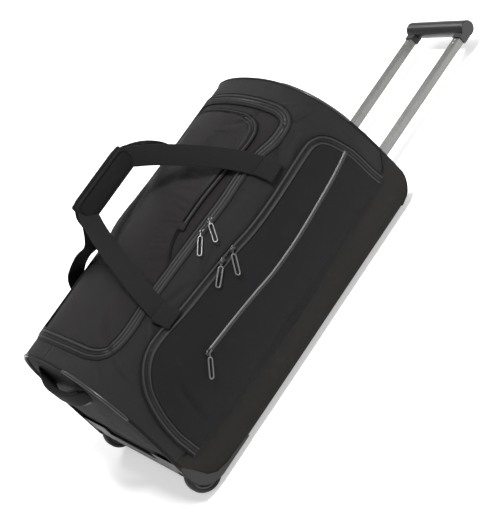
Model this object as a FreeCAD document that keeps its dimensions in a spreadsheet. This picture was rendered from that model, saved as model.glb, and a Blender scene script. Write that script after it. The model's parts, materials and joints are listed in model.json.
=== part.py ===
import FreeCAD, Part
import math
import os

import Sketcher

# Rolling duffel bag, lying on its base with the trolley handle drawn out.
# Model frame: +X from the wheels to the trolley grip, -Y the pocket side, +Z up.
# The sizes below are measured in the bag's own frame: X from the wheel end at
# lid height, Y from the middle plane, Z from the underside of the base board.
# Every sub-part is then moved to the model's origin, on the floor below the
# middle of the overall box.

SIZES = [
    # alias, millimetres
    ("body_length", 640.0),
    ("crown_height", 317.0),
    ("base_half", 196.0),
    ("belly_half", 209.0),
    ("belly_height", 150.0),
    ("bulge_half", 194.0),
    ("bulge_height", 228.0),
    ("shoulder_half", 151.0),
    ("shoulder_height", 281.0),
    ("wheel_end_rake", 32.0),
    ("handle_end_rake", 10.0),
    ("panel", 5.0),
    ("floor_gap", 16.0),
    ("origin_station", 491.0),
    ("lid_start", 43.0),
    ("lid_end", 593.0),
    ("seam_gap", 0.5),
    ("lid_pocket_start", 250.0),
    ("lid_pocket_end", 556.0),
    ("lid_pocket_half", 118.0),
    ("lid_pocket_depth", 12.0),
    ("pocket_start", 20.0),
    ("pocket_end", 604.0),
    ("pocket_hem", 75.0),
    ("pocket_depth", 6.0),
    ("wheel_radius", 35.0),
    ("wheel_width", 21.0),
    ("wheel_track_half", 174.0),
    ("wheel_station", -5.0),
    ("hub_radius", 27.0),
    ("bearing_radius", 8.0),
    ("axle_radius", 3.0),
    ("running_gap", 0.05),
    ("well_width", 25.0),
    ("well_depth", 34.0),
    ("well_height", 58.0),
    ("skid_skin", 3.0),
    ("skid_length", 95.0),
    ("skid_height", 88.0),
    ("corner_radius", 45.0),
    ("tube_half_spacing", 78.0),
    ("tube_height", 27.0),
    ("outer_tube_start", 62.0),
    ("outer_tube_end", 648.0),
    ("outer_tube_width", 26.0),
    ("outer_tube_depth", 20.0),
    ("outer_tube_wall", 1.5),
    ("inner_tube_start", 600.0),
    ("inner_tube_end", 998.0),
    ("inner_tube_width", 20.0),
    ("inner_tube_depth", 14.0),
    ("inner_tube_wall", 1.2),
    ("slide_gap", 0.2),
    ("handle_travel", 303.0),
    ("plug_length", 15.0),
    ("pin_radius", 2.0),
    ("pin_length", 11.0),
    ("bush_length", 20.0),
    ("bezel_start", 650.5),
    ("bezel_thickness", 23.5),
    ("bezel_half", 115.0),
    ("bezel_low", 8.0),
    ("bezel_high", 78.0),
    ("grip_station", 1005.0),
    ("grip_radius", 16.5),
    ("grip_bore", 12.0),
    ("grip_length", 182.0),
    ("grip_rise", 5.5),
    ("sleeve_length", 9.0),
    ("sleeve_wall", 3.0),
    ("button_length", 42.0),
    ("button_width", 11.0),
    ("button_rise", 2.5),
    ("rod_radius", 2.0),
    ("screw_radius", 2.0),
    ("foot_station", 605.0),
    ("foot_track_half", 155.0),
    ("foot_length", 44.0),
    ("foot_width", 30.0),
    ("webbing", 38.0),
    ("webbing_thickness", 3.0),
    ("anchor_wheel_side", 168.0),
    ("anchor_handle_side", 483.0),
    ("anchor_half", 180.0),
    ("anchor_height", 263.0),
    ("carry_height", 420.0),
    ("carry_pad_start", 243.0),
    ("carry_pad_end", 385.0),
    ("carry_pad_thickness", 16.0),
    ("carry_pad_depth", 46.0),
    ("slider_length", 14.0),
    ("slider_width", 9.0),
    ("slider_height", 3.5),
    ("pull_length", 39.0),
    ("pull_width", 9.0),
    ("pull_thickness", 2.0),
]

doc = FreeCAD.newDocument("rolling_duffel_bag")
sheet = doc.addObject("Spreadsheet::Sheet", "sizes")
for row, (alias, size) in enumerate(SIZES, start=1):
    sheet.set(f"A{row}", alias)
    sheet.set(f"B{row}", str(size))
    sheet.setAlias(f"B{row}", alias)
doc.recompute()

subparts = []


def value(expression):
    """The number that an expression on the sheet comes to."""
    result = sheet.evalExpression(str(expression))
    return float(getattr(result, "Value", result))


def size(alias):
    """One driving dimension."""
    return value(f"sizes.{alias}")


def place(item, x="0", y="0", z="0"):
    """Move an object from the bag's own frame to the model frame, at an offset."""
    item.setExpression(".Placement.Base.x", f"({x}) - sizes.origin_station")
    item.setExpression(".Placement.Base.y", f"({y})")
    item.setExpression(".Placement.Base.z", f"({z}) + sizes.floor_gap")


def keep(item, name):
    """Record a finished sub-part under the name of its node."""
    item.Label = name
    subparts.append(item)
    return item


# ---------------------------------------------------------------- sketch tools

def body_with_sketch(name, plane, offset="0"):
    """A PartDesign body and an empty sketch on one of its own origin planes."""
    body = doc.addObject("PartDesign::Body", name + "_body")
    sketch = body.newObject("Sketcher::SketchObject", name + "_sketch")
    support = next(item for item in body.Origin.OriginFeatures if item.Role == plane)
    sketch.AttachmentSupport = [(support, "")]
    sketch.MapMode = "FlatFace"
    sketch.setExpression(".AttachmentOffset.Base.z", offset)
    return body, sketch


def hold(sketch, index, corner, sketch_x, sketch_y):
    """Pin one sketch point to two coordinates, each an expression on the sheet."""
    for kind, axis, expression in (("DistanceX", -2, sketch_x), ("DistanceY", -1, sketch_y)):
        number = value(expression)
        if abs(number) < 1e-9:
            sketch.addConstraint(Sketcher.Constraint("PointOnObject", index, corner, axis))
            continue
        place_held = sketch.addConstraint(Sketcher.Constraint(kind, -1, 1, index, corner, number))
        sketch.setExpression(f"Constraints[{place_held}]", str(expression))


def outline(sketch, corners):
    """Close a polygon through corners given as pairs of expressions."""
    points = [FreeCAD.Vector(value(a), value(b), 0) for a, b in corners]
    first = sketch.GeometryCount
    count = len(points)
    for number, point in enumerate(points):
        sketch.addGeometry(Part.LineSegment(point, points[(number + 1) % count]))
    for number in range(count):
        following = first + (number + 1) % count
        sketch.addConstraint(Sketcher.Constraint("Coincident", first + number, 2, following, 1))
    for number, (sketch_x, sketch_y) in enumerate(corners):
        hold(sketch, first + number, 1, sketch_x, sketch_y)


def rectangle(sketch, width, depth, x="0", y="0"):
    """A rectangle centred on a sketch point."""
    left, right = f"({x}) - ({width}) / 2", f"({x}) + ({width}) / 2"
    low, high = f"({y}) - ({depth}) / 2", f"({y}) + ({depth}) / 2"
    outline(sketch, [(left, low), (right, low), (right, high), (left, high)])


def circle(sketch, radius, x="0", y="0"):
    """A circle centred on a sketch point."""
    centre = FreeCAD.Vector(value(x), value(y), 0)
    index = sketch.addGeometry(Part.Circle(centre, FreeCAD.Vector(0, 0, 1), value(radius)))
    hold(sketch, index, 3, x, y)
    held = sketch.addConstraint(Sketcher.Constraint("Radius", index, value(radius)))
    sketch.setExpression(f"Constraints[{held}]", radius)


def pad(body, sketch, length):
    """Pad a sketch along its normal."""
    feature = body.newObject("PartDesign::Pad", sketch.Name + "_pad")
    feature.Profile = sketch
    feature.setExpression("Length", str(length))
    sketch.Visibility = False
    return feature


def spin(body, sketch):
    """Turn a sketch once about its own horizontal axis."""
    feature = body.newObject("PartDesign::Revolution", sketch.Name + "_turned")
    feature.Profile = sketch
    feature.ReferenceAxis = (sketch, ["H_Axis"])
    feature.Angle = 360.0
    sketch.Visibility = False
    return feature


def soften(body, feature, radius, edges):
    """Fillet the named edges of a feature."""
    doc.recompute()
    rounded = body.newObject("PartDesign::Fillet", feature.Name + "_rounded")
    rounded.Base = (feature, edges)
    rounded.Radius = radius
    return rounded


def edges_along(feature, direction):
    """Names of a feature's straight edges that run along a direction."""
    doc.recompute()
    names = []
    for number, edge in enumerate(feature.Shape.Edges, start=1):
        if not isinstance(edge.Curve, (Part.Line, Part.LineSegment)):
            continue
        if abs(edge.tangentAt(edge.FirstParameter).dot(direction)) > 0.999:
            names.append(f"Edge{number}")
    return names


X_AXIS = FreeCAD.Vector(1, 0, 0)
Y_AXIS = FreeCAD.Vector(0, 1, 0)
Z_AXIS = FreeCAD.Vector(0, 0, 1)


def block(name, length, width, depth):
    """A Part::Box whose three sides are expressions on the sheet."""
    item = doc.addObject("Part::Box", name)
    item.setExpression("Length", str(length))
    item.setExpression("Width", str(width))
    item.setExpression("Height", str(depth))
    return item


def rod(name, radius, length, direction=Z_AXIS):
    """A Part::Cylinder along a direction, its sizes expressions on the sheet."""
    item = doc.addObject("Part::Cylinder", name)
    item.setExpression("Radius", str(radius))
    item.setExpression("Height", str(length))
    item.Placement.Rotation = FreeCAD.Rotation(Z_AXIS, direction)
    return item


def cut(name, base, tool):
    """Base less tool."""
    item = doc.addObject("Part::Cut", name)
    item.Base = base
    item.Tool = tool
    return item


def solid(name, shape):
    """A Part::Feature from a shape worked out in the bag's own frame."""
    item = doc.addObject("Part::Feature", name)
    item.Shape = shape
    place(item)
    return keep(item, name)


def drawn_box(low, high):
    """A plain box shape between two corners."""
    low, high = FreeCAD.Vector(*low), FreeCAD.Vector(*high)
    across = high - low
    return Part.makeBox(across.x, across.y, across.z, low)


# ------------------------------------------------------- the bag's cross-section

FAR = 900.0  # longer than any piece that it is used to cut


def section_prism(offset):
    """The packed bag's cross-section, moved outwards, carried along X.

    Flat base, leaning straight sides up to the belly, a round shoulder and one
    arc over the lid."""
    half = [
        (size("base_half"), 0.0),
        (size("belly_half"), size("belly_height")),
        (size("bulge_half"), size("bulge_height")),
        (size("shoulder_half"), size("shoulder_height")),
    ]
    front = [FreeCAD.Vector(-FAR / 2, -y, z) for y, z in half]
    rear = [FreeCAD.Vector(-FAR / 2, y, z) for y, z in half]
    crown = FreeCAD.Vector(-FAR / 2, 0, size("crown_height"))
    edges = [
        Part.makeLine(front[0], front[1]),
        Part.Arc(front[1], front[2], front[3]).toShape(),
        Part.Arc(front[3], crown, rear[3]).toShape(),
        Part.Arc(rear[3], rear[2], rear[1]).toShape(),
        Part.makeLine(rear[1], rear[0]),
        Part.makeLine(rear[0], front[0]),
    ]
    wire = Part.Wire(edges)
    if offset:
        wire = wire.makeOffset2D(offset, 2)
    return Part.Face(wire).extrude(FreeCAD.Vector(2 * FAR, 0, 0))


def side_prism(corners, low=-FAR / 2, high=FAR / 2):
    """A polygon of (x, z) corners carried along Y from low to high."""
    points = [FreeCAD.Vector(x, low, z) for x, z in corners]
    face = Part.Face(Part.makePolygon(points + points[:1]))
    return face.extrude(FreeCAD.Vector(0, high - low, 0))


def wheel_end_x(z, inset=0.0):
    """Station of the raked wheel-end panel at a height."""
    return -size("wheel_end_rake") * (1 - z / size("crown_height")) + inset


def handle_end_x(z, inset=0.0):
    """Station of the raked handle-end panel at a height."""
    rake = size("handle_end_rake") * (1 - z / size("crown_height"))
    return size("body_length") + rake - inset


LOW, TOP = -20.0, 340.0  # below and above the whole bag
panel = size("panel")
outside = section_prism(0.0)
# the walls have no floor of their own: the base board closes the bag below
board_room = drawn_box(
    (-FAR, panel - size("base_half"), LOW), (FAR, size("base_half") - panel, panel + size("seam_gap"))
)
wall = outside.cut(section_prism(-panel)).cut(board_room)
between_ends = side_prism([
    (wheel_end_x(LOW, panel), LOW), (wheel_end_x(TOP, panel), TOP),
    (handle_end_x(TOP, panel), TOP), (handle_end_x(LOW, panel), LOW),
])
shoulder = size("shoulder_half")


def outside_corner(offset):
    """Everything beyond the rounded lower corner of the wheel end: what is left of a
    block round that corner once a cylinder across the bag is taken out of it."""
    radius = size("corner_radius")
    rake = math.atan(size("wheel_end_rake") / size("crown_height"))
    # axis of the round, one radius inside both the base and the raked end
    x = (radius - size("wheel_end_rake") * math.cos(rake) + radius * math.sin(rake)) / math.cos(rake)
    inner_corner = (x - radius * math.cos(rake), radius + radius * math.sin(rake))
    reach = 60.0
    corner = side_prism([
        (inner_corner[0] - reach, -reach), (x, -reach), (x, radius), inner_corner,
        (inner_corner[0] - reach, inner_corner[1]),
    ])
    axis = Part.makeCylinder(radius + offset, FAR, FreeCAD.Vector(x, -FAR / 2, radius), Y_AXIS)
    return corner.cut(axis)


def well_box(side, spare):
    """The space of one wheel well, its walls pushed outwards by spare."""
    middle = side * size("wheel_track_half")
    half = size("well_width") / 2 + spare
    return drawn_box(
        (-60, middle - half, -20), (size("well_depth") + spare, middle + half, size("well_height") + spare)
    )


# ------------------------------------------------------------------ sewn panels

def side_panel(side):
    """Front or rear panel, from the base edge up over the shoulder to the zip line."""
    reach = drawn_box((-FAR, -FAR, LOW), (FAR, -shoulder, TOP))
    if side > 0:
        reach = drawn_box((-FAR, shoulder, LOW), (FAR, FAR, TOP))
    return wall.common(between_ends).common(reach).cut(outside_corner(0.0))


def end_panel(station, holes):
    """A raked end panel of even thickness, with openings cut through it."""
    inset = panel if station is wheel_end_x else -panel
    sheet_of_cloth = side_prism([
        (station(LOW), LOW), (station(TOP), TOP),
        (station(TOP) + inset, TOP), (station(LOW) + inset, LOW),
    ])
    shape = outside.common(sheet_of_cloth)
    for hole in holes:
        shape = shape.cut(hole)
    return shape.cut(outside_corner(0.0))


def tube_window(side):
    """The opening in the handle-end panel for one outer tube."""
    middle, level = side * size("tube_half_spacing"), size("tube_height")
    half_y = size("outer_tube_width") / 2 + 1
    half_z = size("outer_tube_depth") / 2 + 1
    return drawn_box((600, middle - half_y, level - half_z), (700, middle + half_y, level + half_z))


solid("front_panel", side_panel(-1))
solid("rear_panel", side_panel(1))
housing_wall = 2.5
solid("wheel_end_panel", end_panel(wheel_end_x, [well_box(side, housing_wall) for side in (-1, 1)]))
solid("handle_end_panel", end_panel(handle_end_x, [tube_window(side) for side in (-1, 1)]))

strip = wall.common(between_ends).common(drawn_box((-FAR, -shoulder, 200), (FAR, shoulder, TOP)))
solid("crown_strip_wheel_end", strip.common(drawn_box((-FAR, -FAR, 0), (size("lid_start"), FAR, TOP))))
solid("crown_strip_handle_end", strip.common(drawn_box((size("lid_end"), -FAR, 0), (FAR, FAR, TOP))))

gap = size("seam_gap")
lid_reach = drawn_box(
    (size("lid_start") + gap, -shoulder + gap, 200), (size("lid_end") - gap, shoulder - gap, TOP)
)
solid("lid_panel", wall.common(lid_reach))


def rounded_plan(start, end, half, corner):
    """A rectangle in plan with rounded corners, carried up through the lid."""
    box = drawn_box((start, -half, 200), (end, half, TOP + 40))
    upright = [edge for edge in box.Edges if abs(edge.tangentAt(0).z) > 0.999]
    return box.makeFillet(corner, upright)


lid_pocket_plan = rounded_plan(
    size("lid_pocket_start"), size("lid_pocket_end"), size("lid_pocket_half"), 25
)
solid("lid_pocket", section_prism(size("lid_pocket_depth")).cut(outside).common(lid_pocket_plan))


def front_pocket_outline():
    """Side view of the front pocket: hem below, two large rounded corners above."""
    start, end, hem = size("pocket_start"), size("pocket_end"), size("pocket_hem")
    wheel_side = [(start, 150), (start + 24, 220), (start + 90, 250)]
    handle_side = [(end - 64, 229), (end - 15, 206), (end, 150)]
    near = [FreeCAD.Vector(x, -FAR / 2, z) for x, z in wheel_side]
    away = [FreeCAD.Vector(x, -FAR / 2, z) for x, z in handle_side]
    hem_near = FreeCAD.Vector(start, -FAR / 2, hem)
    hem_away = FreeCAD.Vector(end, -FAR / 2, hem)
    edges = [
        Part.makeLine(hem_near, near[0]),
        Part.Arc(*near).toShape(),
        Part.makeLine(near[2], away[0]),
        Part.Arc(*away).toShape(),
        Part.makeLine(away[2], hem_away),
        Part.makeLine(hem_away, hem_near),
    ]
    return Part.Face(Part.Wire(edges)).extrude(FreeCAD.Vector(0, FAR / 2 - 100, 0))


pocket_skin = section_prism(gap + size("pocket_depth")).cut(section_prism(gap))
solid("front_pocket", pocket_skin.common(front_pocket_outline()))

# ------------------------------------------------- base board and moulded skid

base, base_sketch = body_with_sketch("base_board", "XY_Plane")
inner_half = "(sizes.base_half - sizes.panel - 1)"
notch_half = "(sizes.wheel_track_half - sizes.well_width / 2 - 4)"
notch_end = "(sizes.well_depth + 4)"
board_start = "(sizes.corner_radius - 27)"
board_end = "(sizes.body_length - sizes.panel)"
outline(base_sketch, [
    (board_start, f"-{notch_half}"), (notch_end, f"-{notch_half}"),
    (notch_end, f"-{inner_half}"), (board_end, f"-{inner_half}"),
    (board_end, inner_half), (notch_end, inner_half),
    (notch_end, notch_half), (board_start, notch_half),
])
pad(base, base_sketch, "sizes.panel")
place(base)
keep(base, "base_board")


def skid_shape():
    """Moulded corner tray: a skin round the wheel end's rounded lower corner, with two
    wheel wells."""
    skin, length, height = size("skid_skin"), size("skid_length"), size("skid_height")
    # upper line of the tray at the sides, falling in a hollow curve from the end to the base
    lip = [(-14.0, 58.0), (-4.0, 26.0), (10.0, 11.0), (34.0, 5.0), (length, 2.0)]
    side_view = side_prism(
        [(wheel_end_x(-skin, -skin), -skin), (wheel_end_x(height, -skin), height)]
        + lip + [(length, -skin)]
    )
    low_middle = drawn_box((-100, -100, 68), (0, 100, 120)).fuse(outside_corner(skin))
    inner = section_prism(0.0).common(side_prism([
        (wheel_end_x(0), 0), (wheel_end_x(TOP), TOP), (length + 5, TOP), (length + 5, 0),
    ])).cut(outside_corner(0.0))
    tray = section_prism(skin).common(side_view).cut(low_middle).cut(inner)
    for side in (-1, 1):
        housing = well_box(side, housing_wall).common(inner)
        tray = tray.fuse(housing)
    for side in (-1, 1):
        tray = tray.cut(well_box(side, 0.0))
        level = size("wheel_radius") - size("floor_gap")
        middle = side * size("wheel_track_half")
        start = FreeCAD.Vector(size("wheel_station"), middle - 16, level)
        tray = tray.cut(Part.makeCylinder(size("axle_radius"), 32, start, Y_AXIS))
    return tray.removeSplitter()


solid("corner_skid", skid_shape())

# ----------------------------------------------------------------------- wheels

WHEEL_HEIGHT = "sizes.wheel_radius - sizes.floor_gap"


def turned(name, corners, side):
    """A ring about the wheel axis, from (along the axle, radius) corners."""
    body, sketch = body_with_sketch(name, "YZ_Plane")
    outline(sketch, corners)
    spin(body, sketch)
    place(body, "sizes.wheel_station", f"{side} * sizes.wheel_track_half", WHEEL_HEIGHT)
    return keep(body, name)


half_tyre = "sizes.wheel_width / 2"
for end_name, side in (("front", -1), ("rear", 1)):
    turned(f"wheel_tyre_{end_name}", [
        (f"-{half_tyre} + 1", "sizes.hub_radius"), (f"{half_tyre} - 1", "sizes.hub_radius"),
        (half_tyre, "sizes.hub_radius + 2"), (half_tyre, "sizes.wheel_radius - 4"),
        (f"{half_tyre} - 1.5", "sizes.wheel_radius - 1.2"), (f"{half_tyre} - 4.5", "sizes.wheel_radius"),
        (f"-{half_tyre} + 4.5", "sizes.wheel_radius"), (f"-{half_tyre} + 1.5", "sizes.wheel_radius - 1.2"),
        (f"-{half_tyre}", "sizes.wheel_radius - 4"), (f"-{half_tyre}", "sizes.hub_radius + 2"),
    ], side)
    turned(f"wheel_hub_{end_name}", [
        ("-9", "sizes.bearing_radius"), ("9", "sizes.bearing_radius"), ("9", "sizes.bearing_radius + 4"),
        ("4", "sizes.bearing_radius + 6"), ("4", "sizes.hub_radius - 5"), ("9", "sizes.hub_radius - 3"),
        ("9", "sizes.hub_radius"), ("-9", "sizes.hub_radius"), ("-9", "sizes.hub_radius - 3"),
        ("-4", "sizes.hub_radius - 5"), ("-4", "sizes.bearing_radius + 6"),
        ("-9", "sizes.bearing_radius + 4"),
    ], side)
    bearing_bore = "sizes.axle_radius + sizes.running_gap"
    turned(f"wheel_bearing_{end_name}", [
        ("-9", bearing_bore), ("9", bearing_bore), ("9", "sizes.bearing_radius"),
        ("-9", "sizes.bearing_radius"),
    ], side)
    # headed pin, its head outside the outer wall of the well
    reach = f"(sizes.well_width / 2 + {housing_wall})"
    turned(f"axle_pin_{end_name}", [
        (f"-{reach}", "0"), (f"{reach}", "0"), (f"{reach}", "sizes.axle_radius"),
        (f"-{reach}", "sizes.axle_radius"),
    ], side)

# ------------------------------------------------------- feet under the other end

feet_screws = []
for end_name, side in (("front", -1), ("rear", 1)):
    foot, foot_sketch = body_with_sketch(f"base_foot_{end_name}", "XY_Plane")
    rectangle(foot_sketch, "sizes.foot_length", "sizes.foot_width")
    circle(foot_sketch, "sizes.screw_radius")
    blank = pad(foot, foot_sketch, "sizes.floor_gap")
    soften(foot, blank, 6.0, edges_along(blank, Z_AXIS))
    place(foot, "sizes.foot_station", f"{side} * sizes.foot_track_half", "-sizes.floor_gap")
    keep(foot, f"base_foot_{end_name}")
    screw = rod(f"foot_screw_{end_name}", "sizes.screw_radius", "sizes.floor_gap - 4")
    place(screw, "sizes.foot_station", f"{side} * sizes.foot_track_half", "4 - sizes.floor_gap")
    feet_screws.append(screw)

# --------------------------------------------------------------- trolley handle

def hollow_tube(name, width, depth, wall_name, start, end, side):
    """A rectangular tube along X at one side's tube axis."""
    body, sketch = body_with_sketch(name, "YZ_Plane")
    rectangle(sketch, width, depth)
    rectangle(sketch, f"{width} - 2 * {wall_name}", f"{depth} - 2 * {wall_name}")
    feature = pad(body, sketch, f"{end} - {start}")
    place(body, start, f"{side} * sizes.tube_half_spacing", "sizes.tube_height")
    return body, feature


for end_name, side in (("front", -1), ("rear", 1)):
    outer, outer_pad = hollow_tube(
        f"outer_tube_{end_name}", "sizes.outer_tube_width", "sizes.outer_tube_depth",
        "sizes.outer_tube_wall", "sizes.outer_tube_start", "sizes.outer_tube_end", side
    )
    # slot in the wall that faces the other tube, where the lock pin's tip runs
    slot = outer.newObject("Sketcher::SketchObject", f"lock_slot_{end_name}")
    middle_plane = next(item for item in outer.Origin.OriginFeatures if item.Role == "XZ_Plane")
    slot.AttachmentSupport = [(middle_plane, "")]
    slot.MapMode = "FlatFace"
    pin_station = "(sizes.inner_tube_start - sizes.plug_length / 2 - sizes.outer_tube_start)"
    slot_reach = "(sizes.pin_radius + 1.5)"
    outline(slot, [
        (f"{pin_station} - sizes.handle_travel - {slot_reach}", "-sizes.pin_radius - 0.4"),
        (f"{pin_station} + {slot_reach}", "-sizes.pin_radius - 0.4"),
        (f"{pin_station} + {slot_reach}", "sizes.pin_radius + 0.4"),
        (f"{pin_station} - sizes.handle_travel - {slot_reach}", "sizes.pin_radius + 0.4"),
    ])
    slot_cut = outer.newObject("PartDesign::Pocket", f"lock_slot_cut_{end_name}")
    slot_cut.Profile = slot
    slot_cut.setExpression("Length", "sizes.outer_tube_width")
    slot_cut.Reversed = side > 0
    keep(outer, f"outer_tube_{end_name}")

    inner_tube, _ = hollow_tube(
        f"inner_tube_{end_name}", "sizes.inner_tube_width", "sizes.inner_tube_depth",
        "sizes.inner_tube_wall", "sizes.inner_tube_start", "sizes.inner_tube_end", side
    )
    keep(inner_tube, f"inner_tube_{end_name}")

    # plug at the foot of the inner tube, bored across for the lock pin
    plug, plug_sketch = body_with_sketch(f"tube_plug_{end_name}", "YZ_Plane")
    clear = "(2 * sizes.outer_tube_wall + 2 * sizes.slide_gap)"
    rectangle(plug_sketch, f"sizes.outer_tube_width - {clear}", f"sizes.outer_tube_depth - {clear}")
    plug_pad = pad(plug, plug_sketch, "sizes.plug_length")
    bore_sketch = plug.newObject("Sketcher::SketchObject", f"pin_bore_{end_name}")
    plug_plane = next(item for item in plug.Origin.OriginFeatures if item.Role == "XZ_Plane")
    bore_sketch.AttachmentSupport = [(plug_plane, "")]
    bore_sketch.MapMode = "FlatFace"
    circle(bore_sketch, "sizes.pin_radius + sizes.running_gap", "sizes.plug_length / 2")
    bore_cut = plug.newObject("PartDesign::Pocket", f"pin_bore_cut_{end_name}")
    bore_cut.Profile = bore_sketch
    bore_cut.Midplane = True
    bore_cut.setExpression("Length", "sizes.outer_tube_width")
    place(plug, "sizes.inner_tube_start - sizes.plug_length", f"{side} * sizes.tube_half_spacing",
          "sizes.tube_height")
    keep(plug, f"tube_plug_{end_name}")

    pin = rod(f"lock_pin_{end_name}", "sizes.pin_radius", "sizes.pin_length", Y_AXIS * side)
    tip = "sizes.tube_half_spacing - sizes.outer_tube_width / 2 + sizes.slide_gap"
    place(pin, "sizes.inner_tube_start - sizes.plug_length / 2", f"{side} * ({tip})", "sizes.tube_height")
    keep(pin, f"lock_pin_{end_name}")

    # bush in the mouth of the outer tube, which the inner tube slides through
    bush, bush_sketch = body_with_sketch(f"tube_bush_{end_name}", "YZ_Plane")
    rectangle(bush_sketch, "sizes.outer_tube_width - 2 * sizes.outer_tube_wall",
              "sizes.outer_tube_depth - 2 * sizes.outer_tube_wall")
    rectangle(bush_sketch, "sizes.inner_tube_width + 2 * sizes.slide_gap",
              "sizes.inner_tube_depth + 2 * sizes.slide_gap")
    pad(bush, bush_sketch, "sizes.bush_length")
    place(bush, "sizes.outer_tube_end - sizes.bush_length", f"{side} * sizes.tube_half_spacing",
          "sizes.tube_height")
    keep(bush, f"tube_bush_{end_name}")

    push_rod = rod(f"push_rod_{end_name}", "sizes.rod_radius",
                   "sizes.grip_station - 3.2 - sizes.inner_tube_start - 10", X_AXIS)
    place(push_rod, "sizes.inner_tube_start + 10", f"{side} * sizes.tube_half_spacing",
          "sizes.tube_height")
    keep(push_rod, f"push_rod_{end_name}")

# cross bar on the base board that holds the lower ends of both outer tubes
bar_start, bar_length = "(sizes.outer_tube_start - 12)", "24"
socket_blank = block("socket_blank", bar_length, "2 * sizes.tube_half_spacing + 44",
                     "sizes.tube_height + 8")
place(socket_blank, bar_start, "-sizes.tube_half_spacing - 22", "sizes.panel")
socket = socket_blank
for end_name, side in (("front", -1), ("rear", 1)):
    recess = block(f"socket_recess_{end_name}", "20", "sizes.outer_tube_width", "sizes.outer_tube_depth")
    place(recess, "sizes.outer_tube_start",
          f"{side} * sizes.tube_half_spacing - sizes.outer_tube_width / 2",
          "sizes.tube_height - sizes.outer_tube_depth / 2")
    socket = cut(f"tube_socket_{end_name}", socket, recess)
keep(socket, "tube_socket_bar")

cover = block("trolley_cover", "sizes.body_length - 60", "2 * sizes.tube_half_spacing + 60", "3")
place(cover, "sizes.outer_tube_start - 12", "-sizes.tube_half_spacing - 30", "sizes.tube_height + 14")
keep(cover, "trolley_cover")

# moulded surround where the tubes leave the bag
bezel, bezel_sketch = body_with_sketch("handle_bezel", "YZ_Plane")
bezel_depth = "(sizes.bezel_high - sizes.bezel_low)"
bezel_middle = "(sizes.bezel_high + sizes.bezel_low) / 2"
rectangle(bezel_sketch, "2 * sizes.bezel_half", bezel_depth, "0", bezel_middle)
for side in (-1, 1):
    rectangle(bezel_sketch, "sizes.inner_tube_width + 3", "sizes.inner_tube_depth + 3",
              f"{side} * sizes.tube_half_spacing", "sizes.tube_height")
bezel_screw_places = [(f"{side} * (sizes.bezel_half - 12)", level)
                      for side in (-1, 1)
                      for level in ("sizes.bezel_low + 12", "sizes.bezel_high - 12")]
for screw_y, screw_z in bezel_screw_places:
    circle(bezel_sketch, "sizes.screw_radius", screw_y, screw_z)
bezel_pad = pad(bezel, bezel_sketch, "sizes.bezel_thickness")
doc.recompute()
outer_corners = [
    name for name in edges_along(bezel_pad, X_AXIS)
    if abs(abs(bezel_pad.Shape.getElement(name).CenterOfMass.y) - size("bezel_half")) < 0.1
]
soften(bezel, bezel_pad, 14.0, outer_corners)
place(bezel, "sizes.bezel_start")
keep(bezel, "handle_bezel")

screws = list(feet_screws)
for number, (screw_y, screw_z) in enumerate(bezel_screw_places):
    screw = rod(f"bezel_screw_{number}", "sizes.screw_radius", "sizes.floor_gap - 4", X_AXIS)
    place(screw, "sizes.bezel_start + sizes.bezel_thickness - sizes.floor_gap + 3", screw_y, screw_z)
    screws.append(screw)
screw_group = doc.addObject("Part::Compound", "housing_screws")
screw_group.Links = screws
keep(screw_group, "housing_screws")

# grip: two half shells on a common axis across the bag, closed at both ends; the lower
# one grows a sleeve round each tube
grip_level = "sizes.tube_height + sizes.grip_rise"
grip_outer = rod("grip_outer", "sizes.grip_radius", "sizes.grip_length", Y_AXIS)
place(grip_outer, "sizes.grip_station", "-sizes.grip_length / 2", grip_level)
grip_rounded = doc.addObject("Part::Fillet", "grip_rounded")
grip_rounded.Base = grip_outer
doc.recompute()
grip_rounded.Edges = [
    (number, 3.0, 3.0) for number, edge in enumerate(grip_outer.Shape.Edges, start=1)
    if isinstance(edge.Curve, Part.Circle)
]
sleeves = []
for end_name, side in (("front", -1), ("rear", 1)):
    sleeve = block(f"grip_sleeve_{end_name}", "sizes.grip_radius + sizes.sleeve_length - 6",
                   "sizes.inner_tube_width + 2 * sizes.sleeve_wall",
                   "sizes.inner_tube_depth + 2 * sizes.sleeve_wall")
    place(sleeve, "sizes.grip_station - sizes.grip_radius - sizes.sleeve_length",
          f"{side} * sizes.tube_half_spacing - sizes.inner_tube_width / 2 - sizes.sleeve_wall",
          "sizes.tube_height - sizes.inner_tube_depth / 2 - sizes.sleeve_wall")
    sleeve_rounded = doc.addObject("Part::Fillet", f"grip_sleeve_rounded_{end_name}")
    sleeve_rounded.Base = sleeve
    doc.recompute()
    sleeve_rounded.Edges = [
        (number, 3.0, 3.0) for number, edge in enumerate(sleeve.Shape.Edges, start=1)
        if abs(edge.tangentAt(edge.FirstParameter).dot(X_AXIS)) > 0.999
    ]
    sleeves.append(sleeve_rounded)
grip_solid = doc.addObject("Part::MultiFuse", "grip_solid")
grip_solid.Shapes = [grip_rounded, *sleeves]
grip_hollow = rod("grip_hollow", "sizes.grip_bore", "sizes.grip_length - 10", Y_AXIS)
place(grip_hollow, "sizes.grip_station", "5 - sizes.grip_length / 2", grip_level)
grip_shell = cut("grip_shell", grip_solid, grip_hollow)


def half_of_grip(name, start):
    """The half of the grip shell on one side of the parting plane."""
    half_space = block(f"{name}_side", "30", "sizes.grip_length + 20", "60")
    place(half_space, start, "-sizes.grip_length / 2 - 10", "sizes.tube_height - 30")
    half = doc.addObject("Part::Common", f"{name}_half")
    half.Base = grip_shell
    half.Tool = half_space
    return half


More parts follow.
